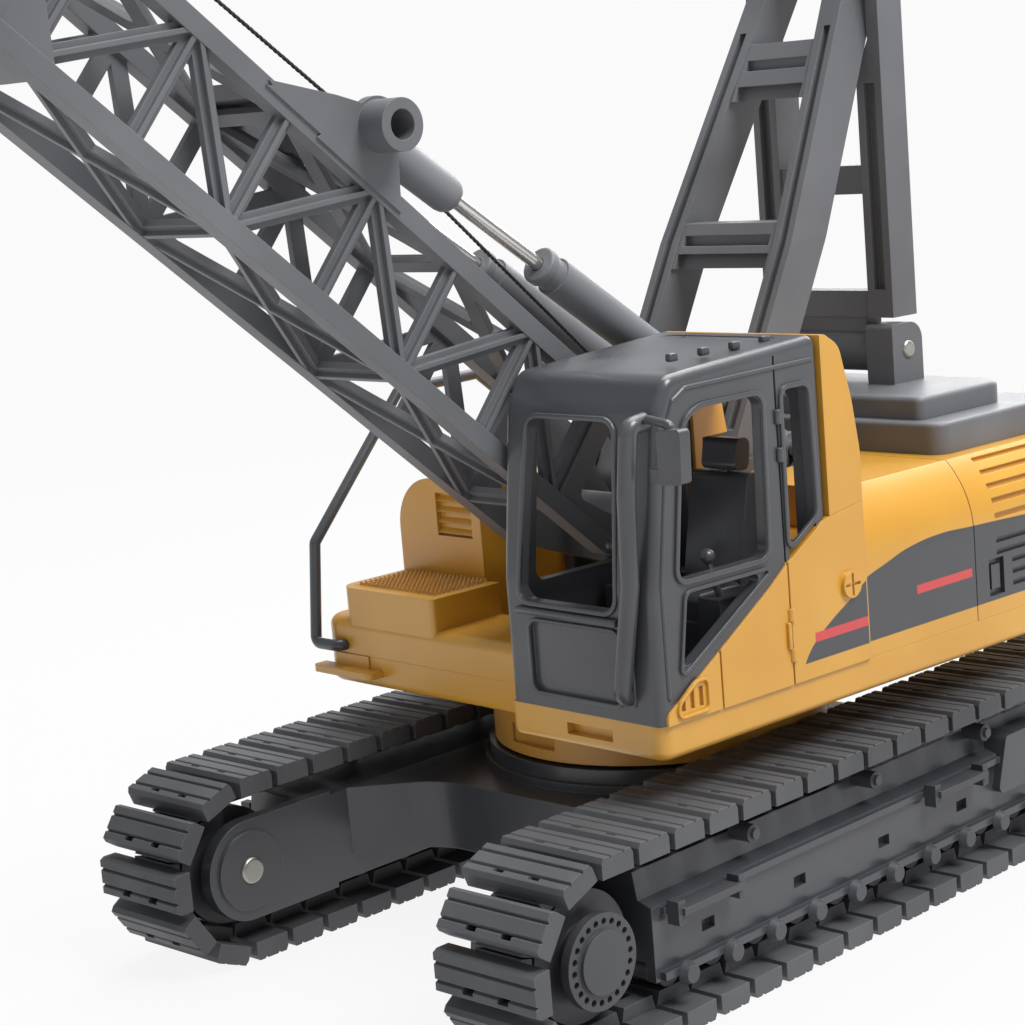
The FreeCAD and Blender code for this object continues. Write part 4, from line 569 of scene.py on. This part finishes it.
def addTread(s):
    low, high = (Vector(c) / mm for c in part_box("tread_plate"))
    bm = bmesh.new()
    addBlock(bm, low, (high.x, high.y, high.z - s["height"]), 0.15)
    for i in range(s["across"]):
        for j in range(s["along"]):
            x = low.x + s["margin"] + (high.x - low.x - 2 * s["margin"]) * i / (s["across"] - 1)
            y = low.y + s["margin"] + (high.y - low.y - 2 * s["margin"]) * j / (s["along"] - 1)
            made = bmesh.ops.create_cone(bm, cap_ends=True, cap_tris=False, segments=4,
                                         radius1=s["width"] * 0.72 * mm, radius2=s["width"] * 0.36 * mm,
                                         depth=(s["height"] + 0.1) * mm)
            bmesh.ops.translate(bm, verts=made["verts"],
                                vec=Vector((x, y, high.z - (s["height"] + 0.1) / 2)) * mm)
    finishPiece(bm, "treadStuds", "house", "amberEnamel", ("tread_plate",), 20)


addTread(treadStuds)
print("tread plate made")


# ---- raised trim on the cab and side panel ----
cabTrim = {
    "front": -30.2, "flank": 30.0, "panel": 30.3, "roof": 64.15,
    "frontWindow": ((11.0, 40.0), (24.6, 40.0), (24.2, 58.6), (12.0, 58.6)),
    "frontPanel": ((12.2, 30.6), (25.0, 30.6), (25.0, 37.9), (12.2, 37.9)),
    "doorWindow": ((-26.6, 42.9), (-13.4, 42.9), (-12.9, 59.4), (-22.4, 59.4), (-24.6, 57.8)),
    "lowWindow": ((-26.9, 33.6), (-13.2, 41.5), (-25.6, 41.5)),
    "quarterWindow": ((-9.9, 43.3), (-5.5, 45.9), (-5.8, 59.4), (-9.7, 59.4)),
    "ventFrame": ((-27.9, 29.6), (-23.9, 29.6), (-23.9, 32.5), (-25.3, 32.5), (-27.9, 30.7)),
    "rimWidth": 0.55, "rimRise": 0.32, "edgeRound": 0.12,
    "doorRidge": ((-28.9, 31.6), (-28.9, 43.0), (-26.6, 58.6), (-25.6, 60.6), (-23.8, 61.6), (-4.9, 61.9)),
    "ridgeRadius": 0.26,
    "sill": ((10.6, 38.6), (25.2, 39.35)),         # ledge under the front glass, (x, z) corners
    "sillOut": 0.75, "sillRound": 0.25,
    "shutLine": (26.6, (30.8, 42.0, 58.4)), "shutRadius": 0.2,
    "hinges": ((-10.6, 56.8), (-10.6, 52.9)), "hingeHalf": 0.75, "hingeRadius": 0.42,
    "hingeStrap": ((-11.4, 32.7), (-10.9, 35.6)), "strapRise": 0.35,
    "roofBumps": ((26.9, -22.0), (26.9, -17.4), (26.9, -12.8), (26.9, -8.2)),
    "bumpSize": (0.4, 0.6), "bumpRise": 0.55,
    "leanFrom": 42.0, "leanBack": 2.2 / 17.5,      # where the nose starts to lean, and how much
}


def frontLean(z, s):
    # the cab's nose leans back above the middle of its height
    return s["front"] + max(z - s["leanFrom"], 0.0) * s["leanBack"]


def addRim(bm, outline, toPlace, corner, s, low=-0.1, width=None):
    # raised moulding round an opening, grown outwards from the opening's outline
    width = s["rimWidth"] if width is None else width
    verts = [bm.verts.new(toPlace(a, b, low)) for a, b in outline]
    known = set(bm.faces)
    bm.faces.new(verts)
    bmesh.ops.bevel(bm, geom=verts, offset=corner * mm, offset_type="OFFSET", affect="VERTICES", segments=6,
                    profile=0.5, material=-1)
    plate = [f for f in bm.faces if f not in known]
    ring = bmesh.ops.inset_individual(bm, faces=plate, thickness=-width * mm, use_even_offset=True)["faces"]
    bmesh.ops.delete(bm, geom=plate, context="FACES_ONLY")
    lift = bmesh.ops.extrude_face_region(bm, geom=ring, use_keep_orig=True)["geom"]
    top = {g for g in lift if isinstance(g, bmesh.types.BMVert)}
    rise = toPlace(*outline[0], s["rimRise"]) - toPlace(*outline[0], low)
    bmesh.ops.translate(bm, vec=rise, verts=list(top))
    edges = [e for e in bm.edges
             if top.issuperset(e.verts) and not all(top.issuperset(f.verts) for f in e.link_faces)]
    bmesh.ops.bevel(bm, geom=edges, offset=s["edgeRound"] * mm, offset_type="OFFSET", affect="EDGES", segments=2,
                    profile=0.5, material=-1)


def addRidge(bm, points, radius):
    for a, b in zip(points, points[1:]):
        addRod(bm, a, b, radius, 12)
    for p in points:
        made = bmesh.ops.create_uvsphere(bm, u_segments=12, v_segments=8, radius=radius * mm)
        bmesh.ops.translate(bm, vec=Vector(p) * mm, verts=made["verts"])


def addCabTrim(s):
    def onFront(x, z, out):
        return Vector((x, frontLean(z, s) - out, z)) * mm

    def onFlank(y, z, out):
        return Vector((s["flank"] + out, y, z)) * mm

    def onPanel(y, z, out):
        return Vector((s["panel"] + out, y, z)) * mm

    bm = bmesh.new()
    addRim(bm, s["frontWindow"], onFront, 1.4, s)
    addRim(bm, s["frontPanel"], onFront, 1.0, s, width=0.4)
    addRim(bm, s["doorWindow"], onFlank, 1.2, s)
    addRim(bm, s["lowWindow"], onFlank, 0.7, s, width=0.4)
    addRim(bm, s["quarterWindow"], onFlank, 0.9, s)
    addRidge(bm, [(s["flank"] - 0.02, y, z) for y, z in s["doorRidge"]], s["ridgeRadius"])
    (sillX0, sillZ0), (sillX1, sillZ1) = s["sill"]
    addBlock(bm, (sillX0, s["front"] - s["sillOut"], sillZ0), (sillX1, s["front"] + 0.2, sillZ1), s["sillRound"])
    shutX, shutHeights = s["shutLine"]
    addRidge(bm, [(shutX, frontLean(z, s) - 0.02, z) for z in shutHeights], s["shutRadius"])
    for y, z in s["hinges"]:
        pinX, half = s["flank"] + 0.1, s["hingeHalf"]
        addRod(bm, (pinX, y, z - half), (pinX, y, z + half), s["hingeRadius"], 16, 0.12)
    for x, y in s["roofBumps"]:
        dx, dy = s["bumpSize"]
        addBlock(bm, (x - dx, y - dy, s["roof"] - 0.3), (x + dx, y + dy, s["roof"] + s["bumpRise"]), 0.2)
    finishPiece(bm, "cabTrim", "house", "cabPlastic")
    bm = bmesh.new()
    addRim(bm, s["ventFrame"], onPanel, 0.5, s, width=0.35)
    strapLow, strapHigh = s["hingeStrap"]
    addBlock(bm, (s["panel"] - 0.1, *strapLow), (s["panel"] + s["strapRise"], *strapHigh), 0.15)
    finishPiece(bm, "panelTrim", "house", "amberEnamel")


addCabTrim(cabTrim)
print("cab trimmed")
